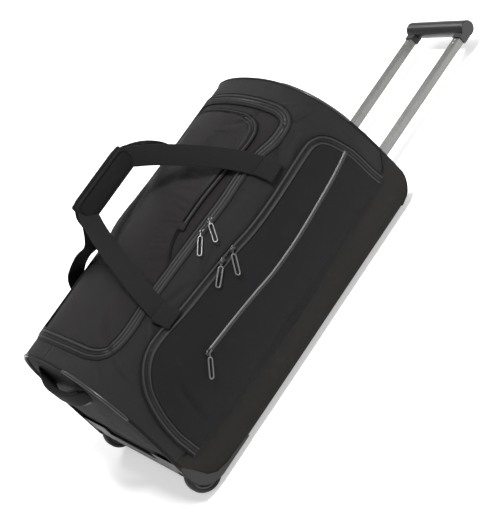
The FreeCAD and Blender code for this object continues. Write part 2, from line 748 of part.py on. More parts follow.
lower_half = half_of_grip("grip_lower", "sizes.grip_station - 30")
for end_name, side in (("front", -1), ("rear", 1)):
    hole = block(f"grip_tube_hole_{end_name}", "20", "sizes.inner_tube_width", "sizes.inner_tube_depth")
    place(hole, "sizes.inner_tube_end - 20",
          f"{side} * sizes.tube_half_spacing - sizes.inner_tube_width / 2",
          "sizes.tube_height - sizes.inner_tube_depth / 2")
    lower_half = cut(f"grip_lower_{end_name}", lower_half, hole)
keep(lower_half, "grip_lower_shell")

window = block("button_window", "30", "sizes.button_length + 0.6", "sizes.button_width + 0.6")
place(window, "sizes.grip_station", "-sizes.button_length / 2 - 0.3",
      f"{grip_level} - sizes.button_width / 2 - 0.3")
keep(cut("grip_upper", half_of_grip("grip_upper", "sizes.grip_station"), window), "grip_upper_shell")

button = block("button_blank", "sizes.grip_radius + sizes.button_rise + 0.5", "sizes.button_length",
               "sizes.button_width")
place(button, "sizes.grip_station - 0.5", "-sizes.button_length / 2",
      f"{grip_level} - sizes.button_width / 2")
button_rounded = doc.addObject("Part::Fillet", "button_rounded")
button_rounded.Base = button
doc.recompute()
button_rounded.Edges = [
    (number, 2.0, 2.0) for number, edge in enumerate(button.Shape.Edges, start=1)
    if edge.CenterOfMass.x > button.Shape.BoundBox.XMax - 0.1
]
keep(button_rounded, "grip_button")

# bar inside the grip that carries the button's push to both rods
release_bar = block("release_bar", "2.7", "2 * sizes.tube_half_spacing + 8", "7")
place(release_bar, "sizes.grip_station - 3.2", "-sizes.tube_half_spacing - 4", "sizes.tube_height - 3.5")
keep(release_bar, "release_bar")

rivets = []
for side in (-1, 1):
    for number, back in enumerate((14.0, 22.0)):
        rivet = rod(f"rivet_{number}_{'front' if side < 0 else 'rear'}", "1.8", "1")
        place(rivet, f"sizes.grip_station - sizes.grip_radius - {back}",
              f"{side} * sizes.tube_half_spacing", "sizes.tube_height + sizes.inner_tube_depth / 2")
        rivets.append(rivet)
rivet_group = doc.addObject("Part::Compound", "tube_rivets")
rivet_group.Links = rivets
keep(rivet_group, "tube_rivets")

# ------------------------------------------------- webbing, grab handles, guards

def ribbon(points, width, thickness, facing):
    """A flat strip along a path: at each point its thickness runs as near to
    `facing` as the path allows, and its width runs across both."""
    points = [FreeCAD.Vector(*point) for point in points]
    wires = []
    for number, point in enumerate(points):
        before = points[max(number - 1, 0)]
        after = points[min(number + 1, len(points) - 1)]
        along = (after - before).normalize()
        outward = (facing - along * facing.dot(along)).normalize()
        across = along.cross(outward)
        a, b = across * (width / 2), outward * (thickness / 2)
        corners = [point - a - b, point + a - b, point + a + b, point - a + b]
        wires.append(Part.makePolygon(corners + corners[:1]))
    return Part.makeLoft(wires, True, True)


def carry_path(side):
    """Webbing loop from one anchor up to the grip and down to the other anchor."""
    near, away = size("anchor_wheel_side"), size("anchor_handle_side")
    level, top = size("anchor_height"), size("carry_height")
    pad_near, pad_away = size("carry_pad_start") + 15, size("carry_pad_end") - 15
    rise = [
        (0.0, 180.0, level), (0.03, 173.0, level + 37), (0.14, 145.0, level + 82),
        (0.36, 95.0, level + 122), (0.66, 45.0, level + 146), (1.0, 6.0, top - 1),
    ]
    up = [(near + share * (pad_near - near), side * y, z) for share, y, z in rise]
    down = [(away + share * (pad_away - away), side * y, z) for share, y, z in reversed(rise)]
    return up + [((pad_near + pad_away) / 2, side * 6.0, top)] + down


def carry_pad(side, strap):
    """Half of the padded grip: a long cushion round one of the two straps."""
    thickness, depth = size("carry_pad_thickness"), size("carry_pad_depth")
    low = size("carry_height") - depth / 2
    start, end = size("carry_pad_start"), size("carry_pad_end")
    inside, outside_face = side * 0.4, side * thickness
    box = drawn_box((start, min(inside, outside_face), low), (end, max(inside, outside_face), low + depth))
    crowned = [
        edge for edge in box.Edges
        if abs(edge.CenterOfMass.y - outside_face) < 0.1
    ]
    return box.makeFillet(7.0, crowned).cut(strap)


def anchor_path(station, side):
    """Patch that carries the foot of the webbing, along the shoulder of a side panel and
    clear of the turn that the webbing makes."""
    return [(station, side * 173.2, 267.0), (station, side * 177.6, 259.0), (station, side * 184.0, 252.2)]


webbing, cloth = size("webbing"), size("webbing_thickness")
for end_name, side in (("front", -1), ("rear", 1)):
    facing = Y_AXIS * side
    strap = ribbon(carry_path(side), webbing, cloth, facing)
    solid(f"carry_strap_{end_name}", strap)
    solid(f"carry_pad_{end_name}", carry_pad(side, strap))

anchors = []
for side in (-1, 1):
    for station in (size("anchor_wheel_side"), size("anchor_handle_side")):
        anchors.append(ribbon(anchor_path(station, side), webbing, 2.0, FreeCAD.Vector(0, side, 1)))
solid("strap_anchors", Part.makeCompound(anchors))


def grab_path(end_x, direction, level, half, bulge):
    """An arched handle across an end panel, its feet on the panel."""
    rise = [(1.0, 0.16), (0.8, 0.62), (0.45, 0.94), (0.0, 1.0)]
    side_one = [(end_x(level) + direction * share * bulge, -y * half, level) for y, share in rise]
    side_two = [(x, -y, z) for x, y, z in reversed(side_one[:-1])]
    return side_one + side_two


solid("grab_handle_wheel_end", ribbon(grab_path(wheel_end_x, -1, 245.0, 95.0, 30.0), 34.0, 7.0, -X_AXIS))
solid("grab_handle_top_end", ribbon(grab_path(handle_end_x, 1, 245.0, 95.0, 30.0), 34.0, 7.0, X_AXIS))


def shoulder_circle():
    """Centre and radius of the shoulder arc on the +Y side."""
    points = [
        FreeCAD.Vector(0, size("belly_half"), size("belly_height")),
        FreeCAD.Vector(0, size("bulge_half"), size("bulge_height")),
        FreeCAD.Vector(0, size("shoulder_half"), size("shoulder_height")),
    ]
    arc = Part.Arc(*points).toShape().Curve
    return arc.Center, arc.Radius


def front_point(z, lift):
    """Point and outward normal of the front shoulder at a height, lifted off the cloth."""
    centre, radius = shoulder_circle()
    rise = (z - centre.z) / radius
    normal = FreeCAD.Vector(0, -math.cos(math.asin(rise)), rise)
    point = FreeCAD.Vector(0, -centre.y, centre.z) + normal * (radius + lift)
    return point, normal


def guard(end_x, outward, side, places):
    """A glossy bar over the edge of an end, along the cross-section's shoulder.

    places are (y, z) pairs on the section; the bar stands half its depth proud."""
    points = [(end_x(z) + outward * 3.2, side * y, z) for y, z in places]
    return ribbon(points, 5.0, 5.0, X_AXIS * outward)


def section_places(heights):
    """Points of the section 5 mm inside the cloth's outer face, at falling heights."""
    places = []
    for z in heights:
        point, normal = front_point(z, -5.0)
        places.append((-point.y, point.z))
    return places


guards = []
for side in (-1, 1):
    guards.append(guard(wheel_end_x, -1, side, [(96.0, 298.0)] + section_places((278.0, 262.0, 242.0, 216.0))))
    guards.append(guard(handle_end_x, 1, side, [(112.0, 294.0)] + section_places((276.0, 256.0, 228.0, 195.0))))
solid("edge_guards", Part.makeCompound(guards))

# --------------------------------------------------------- zip sliders and pulls


ON_LID, ON_POCKET = 0.8, size("seam_gap") + size("pocket_depth") + 0.5
# name, station, height on the front, lift off the body cloth, lie of the pull (x, down)
ZIPS = [
    ("lid_a", 327.0, size("shoulder_height"), ON_LID, (-0.84, 0.55)),
    ("lid_b", 353.0, size("shoulder_height"), ON_LID, (-0.62, 0.78)),
    ("pocket_a", 301.0, 236.0, ON_POCKET, (-0.90, 0.43)),
    ("pocket_b", 329.0, 234.0, ON_POCKET, (-0.67, 0.74)),
    ("quick", 161.0, 172.0, ON_POCKET, (-0.72, 0.69)),
]


def zip_frame(station, z, lift, lie):
    """A slider's place, its outward normal, the way its pull hangs, and where the pull
    is hinged, just past the slider's corner."""
    point, normal = front_point(z, lift)
    point.x = station
    down = X_AXIS.cross(normal) * -1
    if down.z > 0:
        down = down * -1
    hang = (X_AXIS * lie[0] + down * lie[1]).normalize()
    corner = size("slider_length") / 2 * abs(hang.dot(X_AXIS)) + size("slider_width") / 2 * hang.dot(down)
    hinge = point + hang * (corner + 0.5) + normal * 0.6
    return point, normal, hang, hinge


def tab(name, length, width, thickness, origin, along, normal):
    """A small plate: its length along one direction and its thickness along the normal."""
    item = block(name, f"sizes.{length}", f"sizes.{width}", f"sizes.{thickness}")
    across = normal.cross(along)
    turn = FreeCAD.Rotation(along, across, normal, "ZXY")
    shift = across * (-size(width) / 2)
    base = origin + shift
    item.Placement = FreeCAD.Placement(
        FreeCAD.Vector(base.x - size("origin_station"), base.y, base.z + size("floor_gap")), turn
    )
    rounded = doc.addObject("Part::Fillet", name + "_rounded")
    rounded.Base = item
    doc.recompute()
    corner = size(width) * 0.3
    rounded.Edges = [
        (number, corner, corner) for number, edge in enumerate(item.Shape.Edges, start=1)
        if abs(edge.tangentAt(edge.FirstParameter).dot(normal)) > 0.999
    ]
    return rounded


for zip_name, station, z, lift, lie in ZIPS:
    point, normal, hang, hinge = zip_frame(station, z, lift, lie)
    start = point - X_AXIS * (size("slider_length") / 2)
    keep(tab(f"{zip_name}_slider", "slider_length", "slider_width", "slider_height", start,
             X_AXIS, normal), f"zip_slider_{zip_name}")
    keep(tab(f"{zip_name}_pull", "pull_length", "pull_width", "pull_thickness", hinge,
             hang, normal), f"zip_pull_{zip_name}")

# ------------------------------------------------------------ checks and export

doc.recompute()
faults = []
for item in doc.Objects:
    if any(word in item.State for word in ("Invalid", "Error")):
        faults.append(f"{item.Label}: {item.State}")
for item in subparts:
    shape = item.Shape
    if shape.isNull() or not shape.isValid() or shape.Volume <= 0:
        faults.append(f"{item.Label}: shape null, open or not valid")
if faults:
    raise SystemExit("\n".join(faults))

os.makedirs("parts", exist_ok=True)
for item in subparts:
    item.Shape.exportStep(f"parts/{item.Label}.step")
    box = item.Shape.BoundBox
    print(f"{item.Label:24s} solids {len(item.Shape.Solids)} volume {item.Shape.Volume / 1000:9.2f} cm3 "
          f"x {box.XMin:7.1f} {box.XMax:7.1f} y {box.YMin:7.1f} {box.YMax:7.1f} z {box.ZMin:6.1f} {box.ZMax:6.1f}")
print(len(subparts), "sub-parts")
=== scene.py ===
"""The looks of a rolling duffel bag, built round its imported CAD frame.

Places are measured in the bag's own frame, in metres: station runs from the wheel
end to the trolley end, girth runs round the cross-section from the front base edge
over the lid to the rear base edge, and lift is the height off the cloth."""

import json
import math

import bmesh
import bpy
import numpy as np
from mathutils import Matrix, Vector


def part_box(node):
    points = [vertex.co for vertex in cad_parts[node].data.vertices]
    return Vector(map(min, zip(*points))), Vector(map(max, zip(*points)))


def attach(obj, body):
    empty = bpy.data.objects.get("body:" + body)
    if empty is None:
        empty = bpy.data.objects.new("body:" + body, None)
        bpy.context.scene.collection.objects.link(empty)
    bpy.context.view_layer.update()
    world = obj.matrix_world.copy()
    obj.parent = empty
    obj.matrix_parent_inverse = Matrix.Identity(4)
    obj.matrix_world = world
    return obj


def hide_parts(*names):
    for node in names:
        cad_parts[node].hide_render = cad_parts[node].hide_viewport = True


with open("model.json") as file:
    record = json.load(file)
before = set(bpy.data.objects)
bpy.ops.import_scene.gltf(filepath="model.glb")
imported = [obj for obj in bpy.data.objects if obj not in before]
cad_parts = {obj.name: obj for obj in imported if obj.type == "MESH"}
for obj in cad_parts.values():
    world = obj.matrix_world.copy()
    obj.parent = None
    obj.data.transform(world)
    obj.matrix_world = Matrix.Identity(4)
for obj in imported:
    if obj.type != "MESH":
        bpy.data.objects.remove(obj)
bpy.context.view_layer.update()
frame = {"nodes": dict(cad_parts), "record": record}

# ------------------------------------------------------------- the bag's own frame

LENGTH, CROWN, BASE_HALF = 0.640, 0.3165, 0.196
WHEEL_RAKE, HANDLE_RAKE = 0.0315, 0.010      # how far each end leans over its height
CORNER_ROUND = 0.045
TUBE_END = 0.648                             # station where the outer tubes stop
STATION_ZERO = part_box("outer_tube_front")[1].x - TUBE_END
BASE_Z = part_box("base_board")[0].z
SEAM = 0.303                                 # girth of the lid's front seam
LID_START, LID_END = 0.043, 0.593
CARRY_LOW, CARRY_HIGH = 0.168, 0.483         # stations of the carry webbing's feet
CARRY_GIRTH = 0.262                          # their girth on the front
FRONT, REAR = -1, 1                          # signs of y


def to_frame(x, y, z):
    """Points in the bag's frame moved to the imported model's frame."""
    return np.stack(np.broadcast_arrays(x + STATION_ZERO, y, z + BASE_Z), axis=-1)


def smooth(a, b, x):
    """0 below a, 1 above b, an S-curve between."""
    t = np.clip((np.asarray(x, float) - a) / (b - a), 0, 1)
    return t * t * (3 - 2 * t)


def unit(vectors):
    """Each row scaled to length one."""
    return vectors / np.linalg.norm(vectors, axis=1)[:, None]


def distance_along(line):
    """Distance from a line's first point to each of its points."""
    return np.concatenate([[0], np.cumsum(np.linalg.norm(np.diff(line, axis=0), axis=1))])


def make_section(steps=600):
    """Half the cross-section is one cubic curve: nearly upright side, full shoulder,
    broad dome; the other half mirrors it. Sampled evenly and measured along."""
    t = np.linspace(0, 1, steps)[:, None]
    ends = np.array([[-BASE_HALF, 0], [-0.188, 0.081], [-0.296, CROWN], [0, CROWN]])
    half = ((1 - t) ** 3 * ends[0] + 3 * t * (1 - t) ** 2 * ends[1]
            + 3 * t ** 2 * (1 - t) * ends[2] + t ** 3 * ends[3])
    full = np.vstack([half, half[-2::-1] * [-1, 1]])
    girth = distance_along(full)
    slope = np.gradient(full, girth, axis=0)
    return girth, full, np.stack([-slope[:, 1], slope[:, 0]], axis=1)


GIRTHS, SECTION, OUTWARD = make_section()
GIRTH = GIRTHS[-1]


def across(s):
    """Section point (y, z) and outward normal (y, z) at a girth."""
    y, z = (np.interp(s, GIRTHS, SECTION[:, i]) for i in (0, 1))
    ny, nz = (np.interp(s, GIRTHS, OUTWARD[:, i]) for i in (0, 1))
    return y, z, ny, nz


def corner_back(z):
    """How far a rounded lower corner stands back at a height: a quarter circle."""
    below = np.clip(CORNER_ROUND - z, 0, CORNER_ROUND)
    return CORNER_ROUND - np.sqrt(CORNER_ROUND ** 2 - below ** 2)


def wheel_edge(y, z):
    """Station of the raked wheel end, rounded under its whole width."""
    return -WHEEL_RAKE * (1 - z / CROWN) + corner_back(z) + 0 * y


def handle_edge(y, z):
    """Station of the handle end, its lower corners rounded at the sides only."""
    at_sides = smooth(0.12, 0.19, np.abs(y))
    return LENGTH + HANDLE_RAKE * (1 - z / CROWN) - corner_back(z) * at_sides


RNG = np.random.default_rng(7)
# slow waves of the cloth: turns per metre along and round, phase and share
WAVES = [
    (RNG.uniform(-14, 14), RNG.uniform(-18, 18), RNG.uniform(0, 6.28), RNG.uniform(0.3, 1.0))
    for _ in range(14)
]
WAVE_HEIGHT, FULLNESS, DRAG_HEIGHT = 0.005, 0.001, 0.0025
CREASE_DEPTH, CREASE_BEND = 2.6, 0.15

# station, girth, direction, half length, half width and height of single creases
CREASES = [
    (0.612, 0.300, 2.2, 0.030, 0.0045, 0.0022), (0.600, 0.268, 2.6, 0.034, 0.0050, -0.0024),
    (0.622, 0.245, 1.9, 0.026, 0.0040, 0.0018), (0.520, 0.268, 0.5, 0.034, 0.0060, -0.0020),
    (0.546, 0.252, 0.2, 0.028, 0.0045, 0.0018), (0.020, 0.300, 0.9, 0.034, 0.0055, -0.0022),
    (0.052, 0.275, 1.2, 0.028, 0.0050, 0.0020), (0.210, 0.275, -0.3, 0.036, 0.0055, -0.0018),
    (0.130, 0.272, 0.5, 0.030, 0.0050, 0.0016), (0.560, 0.360, 2.5, 0.030, 0.0050, -0.0018),
    (0.090, 0.345, 0.8, 0.040, 0.0060, -0.0020), (0.300, 0.262, 0.1, 0.050, 0.0070, -0.0014),
    (0.420, 0.268, -0.15, 0.050, 0.0070, 0.0012), (0.075, 0.150, 1.3, 0.045, 0.0070, -0.0016),
    (0.618, 0.170, 1.5, 0.040, 0.0055, -0.0016), (0.300, 0.500, 0.2, 0.060, 0.0090, -0.0020),
    (0.450, 0.640, 0.4, 0.050, 0.0080, -0.0018), (0.200, 0.650, -0.4, 0.050, 0.0080, -0.0018),
    (0.330, 0.770, 0.1, 0.080, 0.0100, 0.0016), (0.520, 0.760, 1.2, 0.050, 0.0080, -0.0018),
]


def creases(x, s):
    """Soft folds: a bell across each crease, a longer bell along it, and a slight bend."""
    total = 0.0
    for station, girth, turn, long, wide, high in CREASES:
        a = (x - station) * math.cos(turn) + (s - girth) * math.sin(turn)
        b = ((s - girth) * math.cos(turn) - (x - station) * math.sin(turn)
             + CREASE_BEND * a * np.sin(a / long))
        total = total + CREASE_DEPTH * high * np.exp(-(a / long) ** 2 - (b / wide) ** 2)
    return total


def relief(x, s):
    """Unevenness of filled cloth, fading out at both ends: a few slow waves, a fullness
    between the ends, a soft drag below each webbing foot, and the creases."""
    total = sum(a * np.sin(kx * x + ks * s + p) for kx, ks, p, a in WAVES) / len(WAVES)
    y, z, _, _ = across(s)
    near_end = np.minimum(x - wheel_edge(y, z), handle_edge(y, z) - x)
    fade = smooth(0.0, 0.09, near_end)
    full = FULLNESS * np.sin(np.pi * np.clip(x / LENGTH, 0, 1))
    drag = 0.0
    for station in (CARRY_LOW, CARRY_HIGH):
        for place in (CARRY_GIRTH, GIRTH - CARRY_GIRTH):
            bell = np.exp(-((x - station) / 0.03) ** 2 - ((s - place) / 0.05) ** 2)
            drag = drag + DRAG_HEIGHT * bell
    return fade * (WAVE_HEIGHT * total + full) + (drag + creases(x, s)) * fade


def skin(x, s, lift=0.0):
    """Points on the bag's cloth at stations and girths, lifted off it."""
    y, z, ny, nz = across(s)
    out = lift + relief(x, s)
    return to_frame(x, y + ny * out, z + nz * out)


# ------------------------------------------------------------------- mesh pieces

def piece(name, verts, faces, uv=None, smooth_shade=True):
    """A mesh object from arrays; uv is one (u, v) pair per vertex, in metres."""
    mesh = bpy.data.meshes.new(name)
    faces = faces.tolist() if isinstance(faces, np.ndarray) else faces
    mesh.from_pydata(np.asarray(verts, float).reshape(-1, 3), [], faces)
    mesh.validate()
    if uv is not None:
        layer = mesh.uv_layers.new(name="cloth")
        corner = np.zeros(len(mesh.loops), np.int32)
        mesh.loops.foreach_get("vertex_index", corner)
        layer.data.foreach_set("uv", np.asarray(uv, np.float32).reshape(-1, 2)[corner].ravel())
    mesh.polygons.foreach_set("use_smooth", np.full(len(mesh.polygons), smooth_shade))
    obj = bpy.data.objects.new(name, mesh)
    bpy.context.scene.collection.objects.link(obj)
    return obj


def grid_faces(rows, columns, wrap_rows=False, wrap_columns=False, flip=False):
    """Quads of a rows x columns grid of vertices, row by row."""
    r = np.arange(rows if wrap_rows else rows - 1)
    c = np.arange(columns if wrap_columns else columns - 1)
    r, c = (g.ravel() for g in np.meshgrid(r, c, indexing="ij"))
    r1, c1 = (r + 1) % rows, (c + 1) % columns
    quads = np.stack([r * columns + c, r * columns + c1, r1 * columns + c1, r1 * columns + c],
                     axis=1)
    return quads[:, ::-1] if flip else quads


def grid_piece(name, points, uv=None, **how):
    """A piece from a (rows, columns, 3) array of points."""
    rows, columns = points.shape[:2]
    return piece(name, points.reshape(-1, 3), grid_faces(rows, columns, **how), uv)


def thicken(obj, thickness, offset=-1.0):
    """Give a sheet its thickness, inwards unless offset says otherwise."""
    solid = obj.modifiers.new("thickness", "SOLIDIFY")
    solid.thickness = thickness
    solid.offset = offset
    solid.use_even_offset = False
    return obj


def finish_piece(obj, body, material, *nodes, slot=None):
    """Put a finish on a piece, hang it on its body and hide the CAD nodes it stands for."""
    obj.data.materials.append(material)
    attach(obj, body)
    if nodes:
        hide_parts(*nodes)
    return obj


def curve_frames(path, facing, closed):
    """Unit outward and sideways vectors along a path of points; outward is as near to
    facing as the path allows."""
    if closed:
        along = unit(np.roll(path, -1, axis=0) - np.roll(path, 1, axis=0))
    else:
        along = unit(np.gradient(path, axis=0))
    facing = np.broadcast_to(np.asarray(facing, float), path.shape)
    outward = unit(facing - along * np.sum(along * facing, axis=1)[:, None])
    return outward, np.cross(along, outward)


def sweep(name, path, facing, loop, closed=False, taper=None):
    """Carry a closed cross-section along a path, itself closed or with a fan of faces
    at each end. loop holds (side, out) pairs, in metres; taper scales it per point."""
    outward, side = curve_frames(path, facing, closed)
    scale = np.ones(len(path)) if taper is None else taper
    reach = (side[:, None, :] * loop[None, :, 0, None]
             + outward[:, None, :] * loop[None, :, 1, None])
    points = path[:, None, :] + scale[:, None, None] * reach
    rows, columns = points.shape[:2]
    run = distance_along(path)
    uv = np.stack(np.meshgrid(distance_along(loop), run), axis=-1).reshape(-1, 2)
    verts = points.reshape(-1, 3)
    faces = grid_faces(rows, columns, wrap_rows=closed, wrap_columns=True).tolist()
    if not closed:
        first, last = len(verts), len(verts) + 1
        verts = np.vstack([verts, path[0], path[-1]])
        uv = np.vstack([uv, [0, run[0]], [0, run[-1]]])
        base = (rows - 1) * columns
        for c in range(columns):
            faces.append([first, (c + 1) % columns, c])
            faces.append([last, base + c, base + (c + 1) % columns])
    obj = piece(name, verts, faces, uv)
    obj.data.flip_normals()      # the loop runs the other way round than the path
    return obj


def close_ring(obj, first, count, flip):
    """Fill one ring of a grid, count vertices from the first, with one face."""
    ring = list(range(first, first + count))
    data = bmesh.new()
    data.from_mesh(obj.data)
    data.verts.ensure_lookup_table()
    face = data.faces.new([data.verts[i] for i in (ring if flip else ring[::-1])])
    face.smooth = True
    data.to_mesh(obj.data)
    data.free()


def round_loop(radius, count):
    """A circle as (side, out) pairs."""
    a = np.linspace(0, 2 * np.pi, count, endpoint=False)
    return np.stack([radius * np.cos(a), radius * np.sin(a)], axis=1)


def pill_loop(width, thickness, corner, count):
    """A rounded rectangle as (side, out) pairs, going round once."""
    a, b = width / 2 - corner, thickness / 2 - corner
    turn = np.linspace(0, np.pi / 2, count)
    parts = []
    for number, (cx, cy) in enumerate(((a, b), (-a, b), (-a, -b), (a, -b))):
        angle = turn + number * np.pi / 2
        parts.append(np.stack([cx + corner * np.cos(angle), cy + corner * np.sin(angle)],
                              axis=1))
    return np.vstack(parts)


def flow(points, count, fine=24):
    """A smooth line through a few points: a Catmull-Rom spline, evenly respaced."""
    p = np.asarray(points, float)
    p = np.vstack([2 * p[0] - p[1], p, 2 * p[-1] - p[-2]])
    t = np.linspace(0, 1, fine, endpoint=False)[:, None]
    parts = []
    for a, b, c, d in zip(p[:-3], p[1:-2], p[2:-1], p[3:]):
        parts.append(0.5 * (2 * b + (c - a) * t + (2 * a - 5 * b + 4 * c - d) * t ** 2
                            + (3 * b - a - 3 * c + d) * t ** 3))
    line = np.vstack(parts + [p[-2:-1]])
    return respace(line, count)


def respace(line, count):
    """The same line with evenly spaced points."""
    run = distance_along(line)
    return np.stack([np.interp(np.linspace(0, run[-1], count), run, line[:, i])
                     for i in range(line.shape[1])], axis=1)


def rounded_route(corners, radius, count):
    """Straight runs through corner points, each corner rounded by a quadratic curve."""
    corners = np.asarray(corners, float)
    parts = [corners[:1]]
    for before, corner, after in zip(corners[:-2], corners[1:-1], corners[2:]):
        a, b = before - corner, after - corner
        la, lb = np.linalg.norm(a), np.linalg.norm(b)
        a, b = a / la, b / lb
        half = math.acos(np.clip(a @ b, -1, 1)) / 2
        reach = min(radius / math.tan(half), 0.48 * la, 0.48 * lb)
        t = np.linspace(0, 1, 16)[:, None]
        p, q = corner + a * reach, corner + b * reach
        parts.append((1 - t) ** 2 * p + 2 * t * (1 - t) * corner + t ** 2 * q)
    parts.append(corners[-1:])
    return respace(np.vstack(parts), count)


def mirrored(route):
    """The same route on the rear side."""
    return np.stack([route[:, 0], GIRTH - route[:, 1]], axis=1)


def split(where):
    """Stations and girths of an array of places on the cloth."""
    return where[..., 0], where[..., 1]


def ruled(first, second, rows):
    """Points on straight lines between two routes of equal length."""
    t = np.linspace(0, 1, rows)[:, None, None]
    return first[None] * (1 - t) + second[None] * t


def left_of(route):
    """Unit vectors to the left of a route, in station and girth."""
    along = unit(np.gradient(route, axis=0))
    return np.stack([-along[:, 1], along[:, 0]], axis=1)


def offset_route(route, distance):
    """A route moved sideways in station and girth, to its left."""
    return route + left_of(route) * distance


def spread_over(values, count):
    """Values given along a line, or one number, read at evenly spaced points."""
    if not np.ndim(values):
        return values
    return np.interp(np.linspace(0, 1, count), np.linspace(0, 1, len(values)), values)


# -------------------------------------------------------------------- shader kit

class Field:
    """A shader number that takes part in arithmetic."""

    def __init__(self, finish, socket):
        self.finish, self.socket = finish, socket

    def _with(self, operation, first, second=None):
        inputs = {0: first} if second is None else {0: first, 1: second}
        return self.finish.node("ShaderNodeMath", {"operation": operation}, inputs)

    def __add__(self, other):
        return self._with("ADD", self, other)

    __radd__ = __add__

    def __sub__(self, other):
        return self._with("SUBTRACT", self, other)

    def __rsub__(self, other):
        return self._with("SUBTRACT", other, self)

    def __mul__(self, other):
        return self._with("MULTIPLY", self, other)

    __rmul__ = __mul__

    def __truediv__(self, other):
        return self._with("DIVIDE", self, other)

    def sine(self):
        return self._with("SINE", self)

    def size(self):
        return self._with("ABSOLUTE", self)

    def part(self):
        return self._with("FRACT", self)

    def above(self, other):
        return self._with("GREATER_THAN", self, other)

    def ramp(self, low, high, to_low=0.0, to_high=1.0):
        """An S-curve from to_low, at low, to to_high, at high."""
        return self.finish.node("ShaderNodeMapRange", {"interpolation_type": "SMOOTHSTEP"}, {
            "Value": self, "From Min": low, "From Max": high,
            "To Min": to_low, "To Max": to_high})


class Finish:
    """One material and the nodes that make it."""

    def __init__(self, name):
        self.material = bpy.data.materials.new(name)
        self.material.use_nodes = True
        self.tree = self.material.node_tree
        self.tree.nodes.clear()
        self.shader = self.tree.nodes.new("ShaderNodeBsdfPrincipled")
        out = self.tree.nodes.new("ShaderNodeOutputMaterial")
        self.tree.links.new(self.shader.outputs[0], out.inputs["Surface"])

    def node(self, kind, settings=None, inputs=None, output=0):
        """Any other node: its settings first, then the values or links of its sockets,
        each named by identifier, name or number."""
        made = self.tree.nodes.new(kind)
        for key, setting in (settings or {}).items():
            setattr(made, key, setting)
        known = {socket.identifier: socket for socket in made.inputs}
        for key, given in (inputs or {}).items():
            self._feed(known[key] if key in known else made.inputs[key], given)
        ways_out = {socket.identifier: socket for socket in made.outputs}
        return Field(self, ways_out[output] if output in ways_out else made.outputs[output])

    def _feed(self, socket, given):
        """Link a field to a socket, or set its value; a colour gets its alpha."""
        if isinstance(given, Field):
            self.tree.links.new(given.socket, socket)
        elif isinstance(given, (tuple, list)) and socket.type == "RGBA":
            socket.default_value = (*given, 1)
        else:
            socket.default_value = given

    def axis(self, vector, which):
        return self.node("ShaderNodeSeparateXYZ", None, {"Vector": vector}, which)

    def cloth(self):
        """The piece's own cloth coordinates, in metres."""
        return self.node("ShaderNodeUVMap", {"uv_map": "cloth"})

    def place(self):
        """Object coordinates, in metres."""
        return self.node("ShaderNodeTexCoord", None, None, "Object")

    def noise(self, where, scale, detail=3.0, roughness=0.55):
        return self.node("ShaderNodeTexNoise", None, {
            "Vector": where, "Scale": scale, "Detail": detail, "Roughness": roughness})

    def blend(self, share, first, second):
        """One colour turning into another."""
        return self.node("ShaderNodeMix", {"data_type": "RGBA"}, {
            "Factor": share, "A_Color": first, "B_Color": second}, "Result_Color")

    def scaled(self, vector, factors):
        return self.node("ShaderNodeVectorMath", {"operation": "MULTIPLY"},
                         {0: vector, 1: factors})

    def bump(self, height, distance, strength):
        normal = self.node("ShaderNodeBump", None, {
            "Height": height, "Distance": distance, "Strength": strength})
        self.tree.links.new(normal.socket, self.shader.inputs["Normal"])

    def set(self, **sockets):
        for key, given in sockets.items():
            self._feed(self.shader.inputs[key.replace("_", " ")], given)
        return self.material


CLOTH_SHEEN, CLOTH_GLOSS = 0.02, 0.13
RUBBED = 0.25          # how far rubbed cloth turns pale
STRAND = 0.0009        # width of one strand of webbing


def shade(colour, factor, lift=0.0):
    """A colour made lighter or darker."""
    return tuple(min(1, c * factor + lift) for c in colour)


def woven(name, light, dark, pitch=0.0011, rough=0.8, gloss=CLOTH_GLOSS):
    """Polyester cloth: over-and-under threads, a slow change of shade, rubbed patches."""
    f = Finish(name)
    where = f.cloth()
    u, v = f.axis(where, 0), f.axis(where, 1)
    turn = math.pi / pitch
    warp, weft = (u * turn).sine(), (v * turn).sine()
    over = (warp * weft).above(0.0)
    threads = over * warp.size() + (1 - over) * weft.size()
    broad = f.noise(f.place(), 9.0, 3.0)
    fleck = f.noise(f.scaled(where, (900.0, 900.0, 900.0)), 1.0, 2.0)
    rub = f.noise(f.place(), 38.0, 4.0, 0.65).ramp(0.52, 0.78)
    tone = f.blend(broad.ramp(0.35, 0.7), dark, light)
    tone = f.blend(threads.ramp(0.1, 0.9, 0.55, 0.0), tone, shade(dark, 0.35))
    tone = f.blend(fleck.ramp(0.55, 0.75, 0.0, 0.25), tone, shade(light, 2.4))
    tone = f.blend(rub * RUBBED, tone, shade(light, 1.9))
    f.bump(threads + fleck * 0.4 + broad * 3.0, pitch * 0.35, 0.7)
    return f.set(Base_Color=tone, Roughness=broad.ramp(0.3, 0.7, rough - 0.06, rough + 0.06),
                 Sheen_Weight=CLOTH_SHEEN, Sheen_Roughness=0.45, Specular_IOR_Level=gloss)


